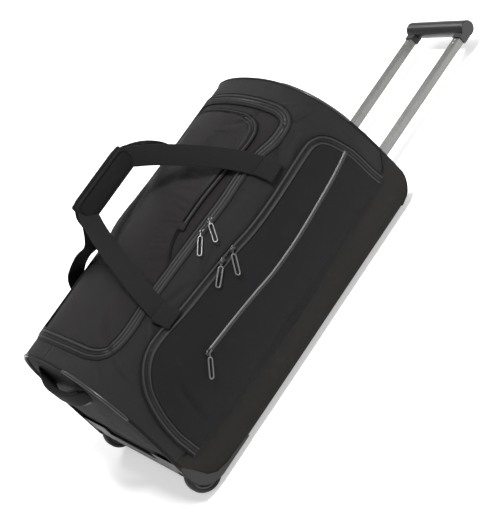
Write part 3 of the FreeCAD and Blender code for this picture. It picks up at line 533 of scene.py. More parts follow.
def ribbed(name, colour, rib=0.0016, rough=0.7):
    """Webbing: fine ribs that run across, slightly slanted threads along its length."""
    f = Finish(name)
    where = f.cloth()
    u, v = f.axis(where, 0), f.axis(where, 1)
    slant = ((u / 0.006).part() - 0.5).size() * 2.0
    ribs = ((v + slant * 0.0008) * (math.pi / rib)).sine().size()
    strands = (u * (math.pi / STRAND)).sine().size()
    fuzz = f.noise(f.scaled(where, (700.0, 250.0, 1.0)), 1.0, 3.0)
    tone = f.blend(ribs.ramp(0.0, 0.8), shade(colour, 0.35), colour)
    tone = f.blend(fuzz.ramp(0.5, 0.8, 0.0, 0.35), tone, shade(colour, 2.6))
    f.bump(ribs + strands * 0.4 + fuzz * 0.3, 0.0005, 0.8)
    return f.set(Base_Color=tone, Roughness=fuzz.ramp(0.3, 0.7, rough - 0.08, rough + 0.1),
                 Sheen_Weight=CLOTH_SHEEN, Specular_IOR_Level=CLOTH_GLOSS)


def moulded(name, colour, rough=0.5, grain=420.0, depth=0.00012, coat=0.0, scuff=0.3):
    """Moulded plastic: fine leather grain, faint flow marks and scuffs."""
    f = Finish(name)
    where = f.place()
    fine = f.noise(where, grain, 2.0)
    slow = f.noise(where, 14.0, 3.0)
    scuffs = f.noise(f.scaled(where, (60.0, 240.0, 160.0)), 1.0, 5.0, 0.7).ramp(0.6, 0.8)
    tone = f.blend(slow.ramp(0.3, 0.7), shade(colour, 0.86), shade(colour, 1.12))
    tone = f.blend(scuffs * scuff, tone, shade(colour, 2.0, 0.003))
    f.bump(fine + scuffs * 0.5, depth, 0.8)
    haze = scuffs * 0.15 + slow.ramp(0.3, 0.7, rough - 0.05, rough + 0.05)
    return f.set(Base_Color=tone, Roughness=haze,
                 Coat_Weight=coat, Coat_Roughness=0.12, Specular_IOR_Level=0.35)


def brushed(name, colour, rough=0.32):
    """Brushed, anodised tube: hair lines along X, a light haze of handling, dark flecks."""
    f = Finish(name)
    where = f.place()
    lines = f.noise(f.scaled(where, (6.0, 1900.0, 1900.0)), 1.0, 3.0, 0.6)
    haze = f.noise(where, 22.0, 3.0)
    tone = f.blend(lines.ramp(0.3, 0.7), shade(colour, 0.82), colour)
    tone = f.blend(haze.ramp(0.5, 0.8, 0.0, 0.3), tone, shade(colour, 0.75))
    flecks = f.noise(f.scaled(where, (260.0, 700.0, 700.0)), 1.0, 4.0, 0.7)
    tone = f.blend(flecks.ramp(0.52, 0.7, 0.0, 0.6), tone, shade(colour, 0.35))
    f.bump(lines, 0.00006, 0.6)
    return f.set(Base_Color=tone, Metallic=1.0,
                 Roughness=lines.ramp(0.3, 0.7, rough - 0.06, rough + 0.1))


def plated(name, colour, rough=0.35):
    """Plated or painted metal with small dents, rubbed bright where they stand up."""
    f = Finish(name)
    dents = f.noise(f.place(), 320.0, 3.0)
    tone = f.blend(dents.ramp(0.4, 0.75), colour, shade(colour, 1.8))
    f.bump(dents, 0.00008, 0.5)
    return f.set(Base_Color=tone, Metallic=0.9,
                 Roughness=dents.ramp(0.3, 0.7, rough - 0.08, rough + 0.12))


CHARCOAL = woven("charcoal polyester", (0.0074, 0.0074, 0.0079), (0.0047, 0.0047, 0.0051),
                 rough=0.6, gloss=0.19)
LID_CLOTH = woven("brown-black polyester", (0.0098, 0.0083, 0.0081), (0.0064, 0.0054, 0.0053),
                  rough=0.66, gloss=0.16)
POCKET_CLOTH = woven("blue-black polyester", (0.0078, 0.0079, 0.0087), (0.0052, 0.0053, 0.0060))
BOOT_CLOTH = woven("boot cloth", (0.0155, 0.0138, 0.0124), (0.0104, 0.0094, 0.0084),
                   pitch=0.0016)
# near-black, a third as bright as the shell's cloth: painted shade for the dark lines of piping,
# seam ridges, folds and bindings
PIPING_PAINTED_SHADE = woven("piping cloth painted shade", (0.0024, 0.0024, 0.0026), (0.0014, 0.0014, 0.0015),
                     rough=0.6)
# the cloth of the two ends is the shell's charcoal at about half its brightness: painted shade on
# the ends
END_CLOTH_PAINTED_SHADE = woven("end cloth painted shade", (0.0034, 0.0034, 0.0036), (0.0021, 0.0021, 0.0023))
WEBBING = ribbed("black webbing", (0.0069, 0.0068, 0.0069))
ZIP_TEETH = moulded("zip coil", (0.0075, 0.0075, 0.008), rough=0.45, coat=0.05)
SKID = moulded("moulded dark grey", (0.0075, 0.0075, 0.0079), rough=0.55)
BLACK_PLASTIC = moulded("black plastic", (0.008, 0.008, 0.0085), rough=0.42, coat=0.1)
GUARD = moulded("gloss grey guard", (0.015, 0.015, 0.0155), rough=0.34, coat=0.25, grain=90.0,
                depth=0.00002)
TYRE = moulded("tyre rubber", (0.007, 0.007, 0.0073), rough=0.7, scuff=0.25)
HUB = moulded("wheel hub", (0.030, 0.030, 0.031), rough=0.4)
TUBE = brushed("brushed tube", (0.185, 0.185, 0.178))
STEEL = plated("zinc plate", (0.50, 0.50, 0.50))
NICKEL = plated("black nickel", (0.050, 0.050, 0.052))
THREAD = ribbed("thread", (0.012, 0.012, 0.0125), rib=0.0006)
# pale tape, about ten times as bright as the welts: a painted highlight for thin bright lines on
# zip lips and handle edges
TAPE_PAINTED_HIGHLIGHT = moulded("tape painted highlight", (0.095, 0.095, 0.097), rough=0.5, coat=0.05, grain=200.0,
                     depth=0.00001)
WELT = moulded("coated piping", (0.0098, 0.0096, 0.0098), rough=0.62, grain=260.0,
               depth=0.00003)
PADDING = woven("padding cloth", (0.0070, 0.0070, 0.0074), (0.0046, 0.0046, 0.0050),
                pitch=0.0013)
PULL = moulded("puller", (0.075, 0.075, 0.077), rough=0.32, coat=0.3)
GRIP = moulded("soft grip", (0.0075, 0.0072, 0.0075), rough=0.36, scuff=0.15, coat=0.15)
BOARD = moulded("base board", (0.012, 0.012, 0.012), rough=0.7)


# ------------------------------------------------------------------------ camera

CAMERA_AT = Vector((-0.1915, -2.3150, 1.3440))      # in the bag's own frame
CAMERA_TURN = Vector((-1.0901, -0.3407, 0.9799))    # axis times angle, from scene to view
LENS, SENSOR, FAR_CLIP = 99.56, 36.0, 20.0


def make_camera():
    data = bpy.data.cameras.new("camera")
    data.sensor_width = SENSOR
    data.lens = LENS
    data.clip_end = FAR_CLIP
    camera = bpy.data.objects.new("camera", data)
    bpy.context.scene.collection.objects.link(camera)
    view = Matrix.Rotation(CAMERA_TURN.length, 3, CAMERA_TURN.normalized())
    place = CAMERA_AT + Vector((STATION_ZERO, 0, BASE_Z))
    camera.matrix_world = Matrix.Translation(place) @ view.transposed().to_4x4()
    bpy.context.scene.camera = camera


# ------------------------------------------------------------------ light and floor

LIGHT_AIM = Vector((0, 0, 0.2))
# name, place, width and height, and power in watts
LIGHTS = [
    ("key", (0.3, -1.2, 3.0), (0.7, 0.6), 140),
    ("fill", (2.0, -2.2, 0.9), (1.4, 1.4), 22),
    ("back", (0.9, 1.9, 2.2), (1.2, 1.2), 26),
]
SKY_STRENGTH, FLOOR_GLOW = 0.46, 0.4
FLOOR_HALF, FLOOR_Z = 6.0, -0.0005


def make_light(name, place, size, power):
    """A rectangular soft light that looks at the bag's middle."""
    data = bpy.data.lights.new(name, "AREA")
    data.shape = "RECTANGLE"
    data.size, data.size_y = size
    data.energy = power
    light = bpy.data.objects.new(name, data)
    bpy.context.scene.collection.objects.link(light)
    light.location = place
    light.rotation_euler = (LIGHT_AIM - Vector(place)).to_track_quat("-Z", "Y").to_euler()


def make_sky():
    """An even white surround."""
    world = bpy.data.worlds.new("studio")
    world.use_nodes = True
    background = world.node_tree.nodes["Background"]
    background.inputs["Color"].default_value = (1, 1, 1, 1)
    background.inputs["Strength"].default_value = SKY_STRENGTH
    bpy.context.scene.world = world
    bpy.context.scene.view_settings.view_transform = "Standard"


def make_floor():
    """One large square under the bag."""
    sides = (-FLOOR_HALF, FLOOR_HALF)
    floor = grid_piece("floor", np.array([[(x, y, FLOOR_Z) for x in sides] for y in sides]))
    f = Finish("pale floor")
    mottle = f.noise(f.place(), 2.0).ramp(0.3, 0.7)
    floor.data.materials.append(f.set(
        Base_Color=f.blend(mottle, (0.93, 0.93, 0.93), (0.96, 0.96, 0.96)), Roughness=0.9,
        Emission_Color=(1.0, 1.0, 1.0), Emission_Strength=FLOOR_GLOW))


make_camera()
for light in LIGHTS:
    make_light(*light)
make_sky()
make_floor()

# ------------------------------------------------------------------------ the shell

SHELL_CLOTH, THIN_CLOTH, POCKET_WALL = 0.002, 0.0012, 0.0016      # cloth thicknesses
LID_GAP = 0.0008       # the lid stops this far inside its seam
END_MIDDLE = 0.15      # height that an end panel's rings close on
LAST_RING = 0.02


def shell_cloth():
    """The sewn shell is a picture frame round the lid, in station and girth: straight
    lines from the lid's seam to the outer edge, mapped on to the cloth."""
    count, rings = 560, 70
    inner = lid_outline(count)
    centre = np.array([LENGTH / 2, GIRTH / 2])
    lid_half = np.array([(LID_END - LID_START) / 2, GIRTH / 2 - SEAM])
    ray = (inner - centre) / lid_half
    outer = ray / np.abs(ray).max(axis=1)[:, None]       # -1..1 round the outer rectangle
    outer_s = centre[1] + outer[:, 1] * GIRTH / 2
    y, z, _, _ = across(outer_s)
    low, high = wheel_edge(y, z), handle_edge(y, z)
    rim = np.stack([(low + high) / 2 + outer[:, 0] * (high - low) / 2, outer_s], axis=1)
    t = np.linspace(0, 1, rings)[:, None, None]
    where = inner[None] + (rim - inner)[None] * t
    x, s = split(where)
    y, z, _, _ = across(s)
    x = np.clip(x, wheel_edge(y, z), handle_edge(y, z))
    return grid_piece("shell_cloth", skin(x, s), np.stack([x, s], axis=-1))


# front half of the lid's seam, in (station, girth)
LID_FRONT = [
    (0.043, 0.4572), (0.043, 0.425), (0.0445, 0.375), (0.047, 0.347), (0.056, 0.324),
    (0.072, 0.312), (0.092, 0.3065), (0.121, 0.305), (0.162, 0.306), (0.232, 0.306),
    (0.327, 0.303), (0.395, 0.300), (0.454, 0.301), (0.502, 0.294), (0.530, 0.2875),
    (0.552, 0.2855), (0.572, 0.2875), (0.585, 0.296), (0.5915, 0.312), (0.593, 0.335),
    (0.593, 0.370), (0.593, 0.420), (0.593, 0.4572),
]


def lid_outline(count):
    """The lid's seam as a closed (station, girth) loop, from the middle of its wheel
    end along the front; the rear half mirrors the front."""
    half = flow(LID_FRONT, count // 2 + 1)
    return np.vstack([half, mirrored(half)[::-1][1:]])


def lid_cloth(columns=170, rows=90):
    """The lid: straight lines between its front seam and the mirrored rear one."""
    edge = offset_route(flow(LID_FRONT, columns), LID_GAP)
    edge[[0, -1], 1] = GIRTH / 2
    where = ruled(edge, mirrored(edge), rows)[:, 1:-1]
    return grid_piece("lid_cloth", skin(*split(where)), where)


def rim_line(edge, count, inset=0.0):
    """The outer edge of one end, as its x, y and z: over the section and back along
    the base."""
    s = np.linspace(0, GIRTH, count)
    y, z, ny, nz = across(s)
    base = np.linspace(y[-1], y[0], count // 4)[1:-1]
    y = np.concatenate([y - ny * inset, base])
    z = np.concatenate([z - nz * inset, np.full(len(base), inset)])
    return edge(y, z), y, z


def end_cloth(name, edge, outward, swell=0.005, tuck=0.0015):
    """An end panel: the rim drawn in towards the middle in rings, swelling outwards as
    one less the fourth power of the ring's size. The wheel end's is tucked in below
    the top of the skid."""
    _, y, z = rim_line(edge, 200)
    rings = np.linspace(1, LAST_RING, 30)[:, None]
    yy, zz = y * rings, END_MIDDLE + (z - END_MIDDLE) * rings
    dent = 0.0015 * np.sin(21 * yy + 9) * np.sin(26 * zz) + 0.001 * np.sin(47 * zz + 30 * yy)
    above_tray = smooth(0.088, 0.125, zz) if outward < 0 else 1.0
    stand = (swell + dent) * (1 - rings ** 4) * above_tray - tuck * (1 - above_tray)
    x = edge(yy, zz) + outward * stand
    obj = grid_piece(name, to_frame(x, yy, zz), np.stack([yy, zz], axis=-1),
                     wrap_columns=True, flip=outward > 0)
    close_ring(obj, (len(rings) - 1) * len(y), len(y), outward < 0)
    return obj


def end_piping(name, edge, outward, radius=0.0036, proud=0.0012):
    """Corded edge of one end panel."""
    x, y, z = rim_line(edge, 220, inset=0.0005)
    line = to_frame(x + outward * proud, y, z)
    centre = line.mean(axis=0)
    return sweep(name, line, line - centre, round_loop(radius, 10), closed=True)


ENDS = (("wheel_end", wheel_edge, -1), ("handle_end", handle_edge, 1))
finish_piece(thicken(shell_cloth(), SHELL_CLOTH), "bag", CHARCOAL, "front_panel", "rear_panel",
             "crown_strip_wheel_end", "crown_strip_handle_end", slot="shell_fabric")
finish_piece(thicken(lid_cloth(), SHELL_CLOTH), "lid", LID_CLOTH, "lid_panel",
             slot="lid_fabric")
for end, edge, outward in ENDS:
    finish_piece(end_cloth(f"{end}_cloth", edge, outward), "bag", END_CLOTH_PAINTED_SHADE, f"{end}_panel",
                 slot="shell_fabric")
    finish_piece(end_piping(f"{end}_piping", edge, outward), "bag", PIPING_PAINTED_SHADE,
                 slot="shell_fabric")


def base_cloth(drop=0.0006):
    """Cloth under the base board, a flat sheet between the two ends."""
    y = np.linspace(-BASE_HALF, BASE_HALF, 40)[:, None]
    u = np.linspace(0, 1, 60)[None, :]
    low, high = wheel_edge(y, 0 * y), handle_edge(y, 0 * y)
    x = low + (high - low) * u
    points = to_frame(x, y + 0 * u, -drop + 0 * x)
    return grid_piece("base_cloth", points, np.stack([x, y + 0 * u], axis=-1))


finish_piece(thicken(base_cloth(), THIN_CLOTH, 1.0), "bag", BOOT_CLOTH, slot="shell_fabric")

# ------------------------------------------------------------- boot and front pocket

# top of the boot, the front pocket's edge and its hem, in (station, girth)
BOOT_TOP = flow([
    (-0.011, 0.094), (0.018, 0.083), (0.051, 0.070), (0.107, 0.065), (0.180, 0.060),
    (0.270, 0.055), (0.368, 0.056), (0.475, 0.063), (0.545, 0.067), (0.586, 0.067),
    (0.609, 0.073), (0.629, 0.086), (0.646, 0.109)], 160)
POCKET_EDGE = flow([
    (0.607, 0.075), (0.604, 0.099), (0.603, 0.130), (0.602, 0.157), (0.598, 0.179),
    (0.593, 0.201), (0.585, 0.217), (0.574, 0.225), (0.557, 0.229), (0.505, 0.228),
    (0.439, 0.226), (0.378, 0.228), (0.327, 0.234), (0.260, 0.240), (0.201, 0.244),
    (0.153, 0.250), (0.121, 0.252), (0.096, 0.249), (0.070, 0.237), (0.044, 0.213),
    (0.025, 0.173), (0.016, 0.130), (0.015, 0.100), (0.015, 0.075)], 420)
POCKET_HEM = 0.0755
POCKET_ZIP_WIDTH = 0.0085      # from the pocket's edge to its cloth
HEM_OVERLAP = 0.0005


def boot_cloth(name, rear):
    """Reinforcing cloth along the lower edge, from the base up to a curved seam."""
    rows, columns = 16, 200
    v = np.linspace(0, 1, rows)[:, None]
    u = np.linspace(0, 1, columns)[None, :]
    top = np.interp(-0.025 + u * 0.673, BOOT_TOP[:, 0], BOOT_TOP[:, 1])
    s = v * top
    if rear:
        s = GIRTH - s
    y, z, _, _ = across(s)
    x = wheel_edge(y, z) + (handle_edge(y, z) - wheel_edge(y, z)) * u
    lift = 0.0011 + 0.0006 * np.sin(np.pi * v) + 0 * u
    return grid_piece(name, skin(x, s, lift), np.stack([x, s], axis=-1), flip=not rear)


def pocket_lift(x, s):
    """How far the front pocket stands off the shell: 4.5 mm at its edge and 3.5 mm of
    soft fullness inside."""
    u = np.clip((x - 0.015) / 0.592, 0, 1)
    v = np.clip((s - 0.07) / 0.16, 0, 1)
    swell = np.sqrt(np.sin(np.pi * u).clip(0)) * np.sin(np.pi * v).clip(0) ** 0.7
    return 0.0045 + 0.0035 * swell


def pocket_cloth():
    """Front pocket: straight lines from its hem to the inside of its zip, lifted."""
    edge = offset_route(POCKET_EDGE, POCKET_ZIP_WIDTH)
    hem = np.stack([np.linspace(edge[0, 0], edge[-1, 0], len(edge)),
                    np.full(len(edge), POCKET_HEM)], axis=1)
    edge[:, 1] = np.maximum(edge[:, 1], POCKET_HEM + HEM_OVERLAP)
    where = ruled(hem, edge, 60)
    return grid_piece("front_pocket_cloth", skin(*split(where), pocket_lift(*split(where))),
                      where)


def pocket_foot(rows=8, columns=160):
    """The pocket's cloth below its hinge line, down to the boot, which stays put. It
    rises from the boot to just under the pocket's hem."""
    u = np.linspace(0.012, 0.610, columns)
    low = np.interp(u, BOOT_TOP[:, 0], BOOT_TOP[:, 1]) - 0.006
    low = np.minimum(low, POCKET_HEM - 0.002)
    high = np.full(columns, POCKET_HEM + HEM_OVERLAP)
    where = ruled(np.stack([u, low], axis=1), np.stack([u, high], axis=1), rows)
    x, s = split(where)
    share = np.linspace(0, 1, rows)[:, None]
    lift = 0.0008 + (pocket_lift(x, s) - 0.0008) * share ** 0.6
    return grid_piece("front_pocket_foot", skin(x, s, lift - 0.0004), where, flip=True)


for word, rear in (("front", False), ("rear", True)):
    finish_piece(thicken(boot_cloth(f"boot_{word}", rear), THIN_CLOTH), "bag", BOOT_CLOTH,
                 slot="shell_fabric")
finish_piece(thicken(pocket_cloth(), POCKET_WALL), "pocket", POCKET_CLOTH, "front_pocket",
             slot="pocket_fabric")
finish_piece(thicken(pocket_foot(), THIN_CLOTH), "bag", POCKET_CLOTH, slot="pocket_fabric")

# ----------------------------------------------------------------------------- zips

TAPE_WIDTH, TAPE_SHEET, LIP_SHEET = 0.0088, 0.0008, 0.0006
TEETH_PITCH, TOOTH = 0.0021, (0.0013, 0.0026, 0.0014)
STITCH_PITCH, STITCH_LIFT = 0.0052, 0.0004
ZIP_BASE = 0.0036      # height of the pocket zip's tape off the shell

# cross-sections of sewn edges, as (distance outwards, height) pairs
SEAM_RIDGE = [(-0.0002, 0.0006), (0.0002, 0.0016), (0.0009, 0.0019), (0.0016, 0.0014),
              (0.0021, 0.0002)]
QUICK_LIP = [(0.0007, 0.0012), (0.0016, 0.0019), (0.0027, 0.0020), (0.0034, 0.0014),
             (0.0040, -0.0003)]
PIPED_EDGE = [(-0.0034, 0.0), (-0.0032, 0.0012), (-0.0022, 0.0024), (-0.0008, 0.0029),
              (0.0008, 0.0029), (0.0022, 0.0024), (0.0032, 0.0012), (0.0034, 0.0)]

CUBE = np.array([(-1, -1, -1), (1, -1, -1), (1, 1, -1), (-1, 1, -1),
                 (-1, -1, 1), (1, -1, 1), (1, 1, 1), (-1, 1, 1)], float) / 2
CUBE_FACES = np.array([(0, 3, 2, 1), (4, 5, 6, 7), (0, 1, 5, 4), (1, 2, 6, 5), (2, 3, 7, 6),
                       (3, 0, 4, 7)])


def along_bag(name, route, profile, lift):
    """A sewn strip on a (station, girth) route: profile holds (offset to the left,
    height) pairs across it; lift is a number or one value per route point. A profile
    from right to left faces out and thickens downwards, the other way it thickens up."""
    profile = np.asarray(profile, float)
    where = route[:, None, :] + left_of(route)[:, None, :] * profile[None, :, 0, None]
    height = np.broadcast_to(lift, (len(route),))[:, None] + profile[None, :, 1]
    uv = np.stack(np.meshgrid(profile[:, 0], distance_along(route)), axis=-1)
    return grid_piece(name, skin(*split(where), height), uv, flip=True)


def sided(profile, side):
    """A profile given from the zip outwards, for one side, from left to right."""
    profile = [(side * offset, rise) for offset, rise in profile]
    return profile if side < 0 else profile[::-1]


def frames_on_bag(route, lift):
    """Points with along, left and outward directions for a route on the cloth."""
    points = skin(route[:, 0], route[:, 1], lift)
    outward = unit(skin(route[:, 0], route[:, 1], lift + 0.001) - points)
    along = unit(np.gradient(points, axis=0))
    return points, along, np.cross(outward, along), outward


def small_blocks(name, frames, size, side=0.0, narrow=0.7):
    """One small tapered block at every frame: size is (along, across, high), side is
    how far the block stands to the left, and its top is narrower than its foot."""
    points, along, left, outward = frames
    shape = CUBE * np.asarray(size)
    shape[4:, :2] *= narrow
    verts = (points[:, None] + left[:, None] * side
             + along[:, None] * shape[None, :, :1] + left[:, None] * shape[None, :, 1:2]
             + outward[:, None] * shape[None, :, 2:])
    faces = (np.arange(len(points))[:, None, None] * 8 + CUBE_FACES[None]).reshape(-1, 4)
    return piece(name, verts, faces, np.zeros((len(points) * 8, 2)), smooth_shade=False)


def stitches(name, route, lift, body, slot):
    """A row of sewn stitches."""
    line = respace(route, max(4, int(distance_along(route)[-1] / STITCH_PITCH)))
    frames = frames_on_bag(line, spread_over(lift, len(line)))
    obj = small_blocks(name, frames, (STITCH_PITCH * 0.62, 0.0008, 0.0007))
    finish_piece(obj, body, THREAD, slot=slot)


def zip_welt(name, route, side, body, slot, lift, tape, edge):
    """One side of a zip, from the coil outwards: flat tape, a corded welt that ends at
    edge, and the tape's outer edge sewn down."""
    profile = [(0.0010, 0.0006), (0.0030, 0.0008), (0.0034, 0.0012), (0.0038, 0.0024),
               (0.0046, 0.0034), (edge, 0.0037), (edge + 0.0010, 0.0032),
               (edge + 0.0017, 0.0022), (edge + 0.0021, 0.0015), (tape, 0.0012),
               (tape + 0.0006, -0.0006)]
    obj = along_bag(name, route, sided(profile, side)[::-1], lift)
    finish_piece(thicken(obj, TAPE_SHEET), body, WELT, slot=slot)


def zip_teeth(name, route, side, body, slot, lift):
    """The coil's teeth on one side; the two sides stand half a pitch apart."""
    count = max(8, int(distance_along(route)[-1] / TEETH_PITCH))
    line = respace(route, 2 * count)[(0 if side > 0 else 1)::2]
    frames = frames_on_bag(line, spread_over(lift, len(line)) + 0.0013)
    finish_piece(small_blocks(name, frames, TOOTH, side * 0.0008), body, ZIP_TEETH, slot=slot)


def whole_zip(name, route, lift, inner, outer, slots, tape=TAPE_WIDTH, edge=0.0055):
    """A zip whose left side is sewn to one body and right side to another."""
    for side, body, slot, word in ((1, inner, slots[0], "inner"), (-1, outer, slots[1], "outer")):
        zip_welt(f"{name}_{word}_welt", route, side, body, slot, lift, tape, edge)
        # the seam ridge beside each zip tape is near-black cloth: painted shade in the groove
        ridge = sided([(tape + offset, rise) for offset, rise in SEAM_RIDGE], side)
        seam = along_bag(f"{name}_{word}_seam", route, ridge, lift)
        finish_piece(thicken(seam, LIP_SHEET), body, PIPING_PAINTED_SHADE, slot=slot)
        zip_teeth(f"{name}_{word}_teeth", route, side, body, slot, lift)


whole_zip("pocket_zip", POCKET_EDGE, ZIP_BASE, "pocket", "bag", ("pocket_fabric", "shell_fabric"))


def lid_run(loop, rear_gap=0.028):
    """The part of the lid's seam that opens: all but its run along the rear."""
    loop = np.roll(loop[:-1], len(loop) // 2, axis=0)
    keep = loop[:, 1] < GIRTH - SEAM - rear_gap
    return loop[keep][::-1]


LID_ZIP = lid_run(lid_outline(900))
whole_zip("lid_zip", LID_ZIP, 0.0008, "bag", "lid", ("shell_fabric", "lid_fabric"), tape=0.0105)

QUICK_ZIP = flow([(0.597, 0.1705), (0.560, 0.165), (0.509, 0.160), (0.418, 0.154), (0.346, 0.155),
                  (0.292, 0.161), (0.228, 0.167), (0.158, 0.172)], 260)
quick_lift = pocket_lift(*split(QUICK_ZIP))
# the upper lip of the quick zip is pale: a painted highlight along the zip
for side, word, material in ((1, "lower", WELT), (-1, "upper", TAPE_PAINTED_HIGHLIGHT)):
    lip = along_bag(f"quick_zip_{word}_lip", QUICK_ZIP, sided(QUICK_LIP, side), quick_lift)
    finish_piece(thicken(lip, LIP_SHEET), "pocket", material, slot="pocket_fabric")
zip_teeth("quick_zip_teeth", QUICK_ZIP, 1, "pocket", "pocket_fabric", quick_lift - 0.0006)

# ------------------------------------------------------------- the lid's own pocket

LID_POCKET_ROWS, LID_POCKET_COLUMNS = 90, 300
LID_POCKET_EDGE = flow([
    (0.205, 0.3135), (0.225, 0.3138), (0.246, 0.3165), (0.261, 0.325), (0.283, 0.337),
    (0.311, 0.3435), (0.345, 0.3445), (0.383, 0.344), (0.429, 0.340), (0.486, 0.334),
    (0.514, 0.332), (0.536, 0.335), (0.550, 0.348), (0.557, 0.371), (0.5585, 0.402),
    (0.559, 0.4572)], LID_POCKET_COLUMNS)


def lid_pocket_lift(x, s):
    """The pocket on the lid stands proud in the middle and falls away to the wheel end."""
    across_lid = np.clip((s - 0.325) / (GIRTH - 0.65), 0, 1)
    rise = np.sin(np.pi * across_lid).clip(0) ** 0.5
    length = smooth(0.205, 0.30, x) * (1 - 0.55 * smooth(0.50, 0.56, x))
    return 0.0009 + 0.0095 * rise * length


def lid_pocket_cloth():
    """Straight lines between the pocket's front seam and its mirrored rear seam."""
    where = ruled(LID_POCKET_EDGE, mirrored(LID_POCKET_EDGE), LID_POCKET_ROWS)[:, :-1]
    return grid_piece("lid_pocket_cloth", skin(*split(where), lid_pocket_lift(*split(where))),
                      where)


def settle(obj, held, pressure, spare, cap, frames=14, stiffness=15.0):
    """Let cloth swell and wrinkle: a short cloth simulation with no gravity, a little
    spare cloth, the held points pinned, and the move of each point capped."""
    count = len(obj.data.vertices)
    before = np.zeros(count * 3)
    obj.data.vertices.foreach_get("co", before)
    group = obj.vertex_groups.new(name="held")
    if len(held):
        group.add([int(i) for i in held], 1.0, "REPLACE")
    cloth = obj.modifiers.new("cloth", "CLOTH")
    how = cloth.settings
    how.quality = 6
    how.mass = 0.3
    how.tension_stiffness = how.compression_stiffness = stiffness
    how.shear_stiffness = stiffness / 2
    how.bending_stiffness = 0.4
    how.use_pressure = True
    how.uniform_pressure_force = pressure
    how.shrink_min = -spare
    how.effector_weights.gravity = 0
    if len(held):
        how.vertex_group_mass = "held"
    cloth.point_cache.frame_start, cloth.point_cache.frame_end = 1, frames
    scene = bpy.context.scene
    for step in range(1, frames + 1):
        scene.frame_set(step)
    grown = obj.evaluated_get(bpy.context.evaluated_depsgraph_get()).to_mesh()
    after = np.zeros(count * 3)
    grown.vertices.foreach_get("co", after)
    obj.modifiers.remove(cloth)
    obj.vertex_groups.clear()
    scene.frame_set(1)
    move = (after - before).reshape(-1, 3)
    far = np.linalg.norm(move, axis=1)
    move *= (cap * np.tanh(far / cap) / np.maximum(far, 1e-9))[:, None]
    obj.data.vertices.foreach_set("co", before + move.ravel())
    obj.data.update()
    return obj


def grid_border(rows, columns):
    """Vertex numbers round the edge of a grid."""
    number = np.arange(rows * columns).reshape(rows, columns)
    return np.unique(np.concatenate([number[0], number[-1], number[:, 0], number[:, -1]]))


lid_pocket = lid_pocket_cloth()
settle(lid_pocket, grid_border(LID_POCKET_ROWS, LID_POCKET_COLUMNS - 1), pressure=1.2,
       spare=0.02, cap=0.004)
finish_piece(thicken(lid_pocket, POCKET_WALL), "lid", LID_CLOTH, "lid_pocket",
             slot="lid_fabric")
# the pocket's seam is sewn up to its corner, and from there it is a zip
lid_pocket_zip = LID_POCKET_EDGE[75:]
lid_pocket_zip = np.vstack([lid_pocket_zip, mirrored(lid_pocket_zip)[::-1][1:60]])
whole_zip("lid_pocket_zip", lid_pocket_zip, 0.0012, "lid", "lid", ("lid_fabric", "lid_fabric"),
          tape=0.0080, edge=0.0050)
finish_piece(along_bag("lid_pocket_seam", LID_POCKET_EDGE[10:78], PIPED_EDGE, 0.0004), "lid",
             PIPING_PAINTED_SHADE, slot="lid_fabric")


def zip_end_tab(name, place, turn, size, lift):
    """A small folded cloth tab over the end of the pocket's zip, puffed in the middle."""
    u, v = np.meshgrid(np.linspace(-1, 1, 13), np.linspace(-1, 1, 9))
    a, b = u * size[0] / 2, v * size[1] / 2
    x = place[0] + a * math.cos(turn) - b * math.sin(turn)
    s = place[1] + a * math.sin(turn) + b * math.cos(turn)
    rise = lift + 0.0022 * (1 - u ** 6) * (1 - v ** 6)
    obj = grid_piece(name, skin(x, s, rise), np.stack([x, s], axis=-1), flip=True)
    finish_piece(thicken(obj, 0.001), "lid", LID_CLOTH, slot="lid_fabric")


zip_end_tab("lid_pocket_zip_tab", LID_POCKET_EDGE[78], 0.15, (0.016, 0.024), 0.0026)

# --------------------------------------------------------------------- stitch lines

for name, gap, body, slot in (("lid_zip_stitch_0", 0.0135, "bag", "shell_fabric"),
                              ("lid_zip_stitch_1", 0.0165, "bag", "shell_fabric"),
                              ("lid_stitch", -0.0135, "lid", "lid_fabric")):
    stitches(name, offset_route(LID_ZIP, gap), STITCH_LIFT, body, slot)
stitches("pocket_zip_outer_stitch", offset_route(POCKET_EDGE, -0.0115), STITCH_LIFT, "bag",
         "shell_fabric")
inner_stitch = offset_route(POCKET_EDGE, 0.0118)
inner_stitch = inner_stitch[inner_stitch[:, 1] > POCKET_HEM + 0.004]
stitches("pocket_zip_inner_stitch", inner_stitch, pocket_lift(*split(inner_stitch)) + 0.0002,
         "pocket", "pocket_fabric")
# a low fold along each boot seam in near-black cloth: a line of painted shade at the seam
boot_fold = [(offset * 0.34, rise * 0.75) for offset, rise in PIPED_EDGE]
for word, route, away in (("front", BOOT_TOP, -0.004), ("rear", mirrored(BOOT_TOP), 0.004)):
    stitches(f"boot_{word}_stitch", offset_route(route, away)[3:-3], 0.0016, "bag",
             "shell_fabric")
    finish_piece(along_bag(f"boot_{word}_fold", route[1:-1], boot_fold, 0.0010), "bag",
                 PIPING_PAINTED_SHADE, slot="shell_fabric")

# -------------------------------------------------------------- webbing and the grip

PATCH_LOW, PATCH_HIGH, PATCH_HALF, PATCH_LIFT = 0.2475, 0.279, 0.0195, 0.0088
CROSS_LOW, CROSS_HIGH, CROSS_HALF, CROSS_LIFT = 0.251, 0.275, 0.016, 0.0091
PAD_LOW, PAD_HIGH = 0.258, 0.370       # stations of the grip's two ends
GRIP_Y, GRIP_Z = 0.0085, 0.4195        # middle of one webbing inside the grip

# one leg of a webbing: share of the way to the grip, distance from the middle, height
CARRY_RISE = [(0.0, 0.1795, 0.2645), (0.04, 0.1695, 0.281), (0.14, 0.148, 0.307),
              (0.34, 0.108, 0.343), (0.58, 0.062, 0.378), (0.82, 0.024, 0.406),
              (1.0, 0.0085, 0.4185)]
REAR_DROP = [(0.0, 0.1795, 0.2645), (0.08, 0.1655, 0.288), (0.22, 0.149, 0.3045),
             (0.42, 0.112, 0.325), (0.66, 0.062, 0.345), (0.88, 0.020, 0.388),
             (1.0, 0.0085, 0.4185)]


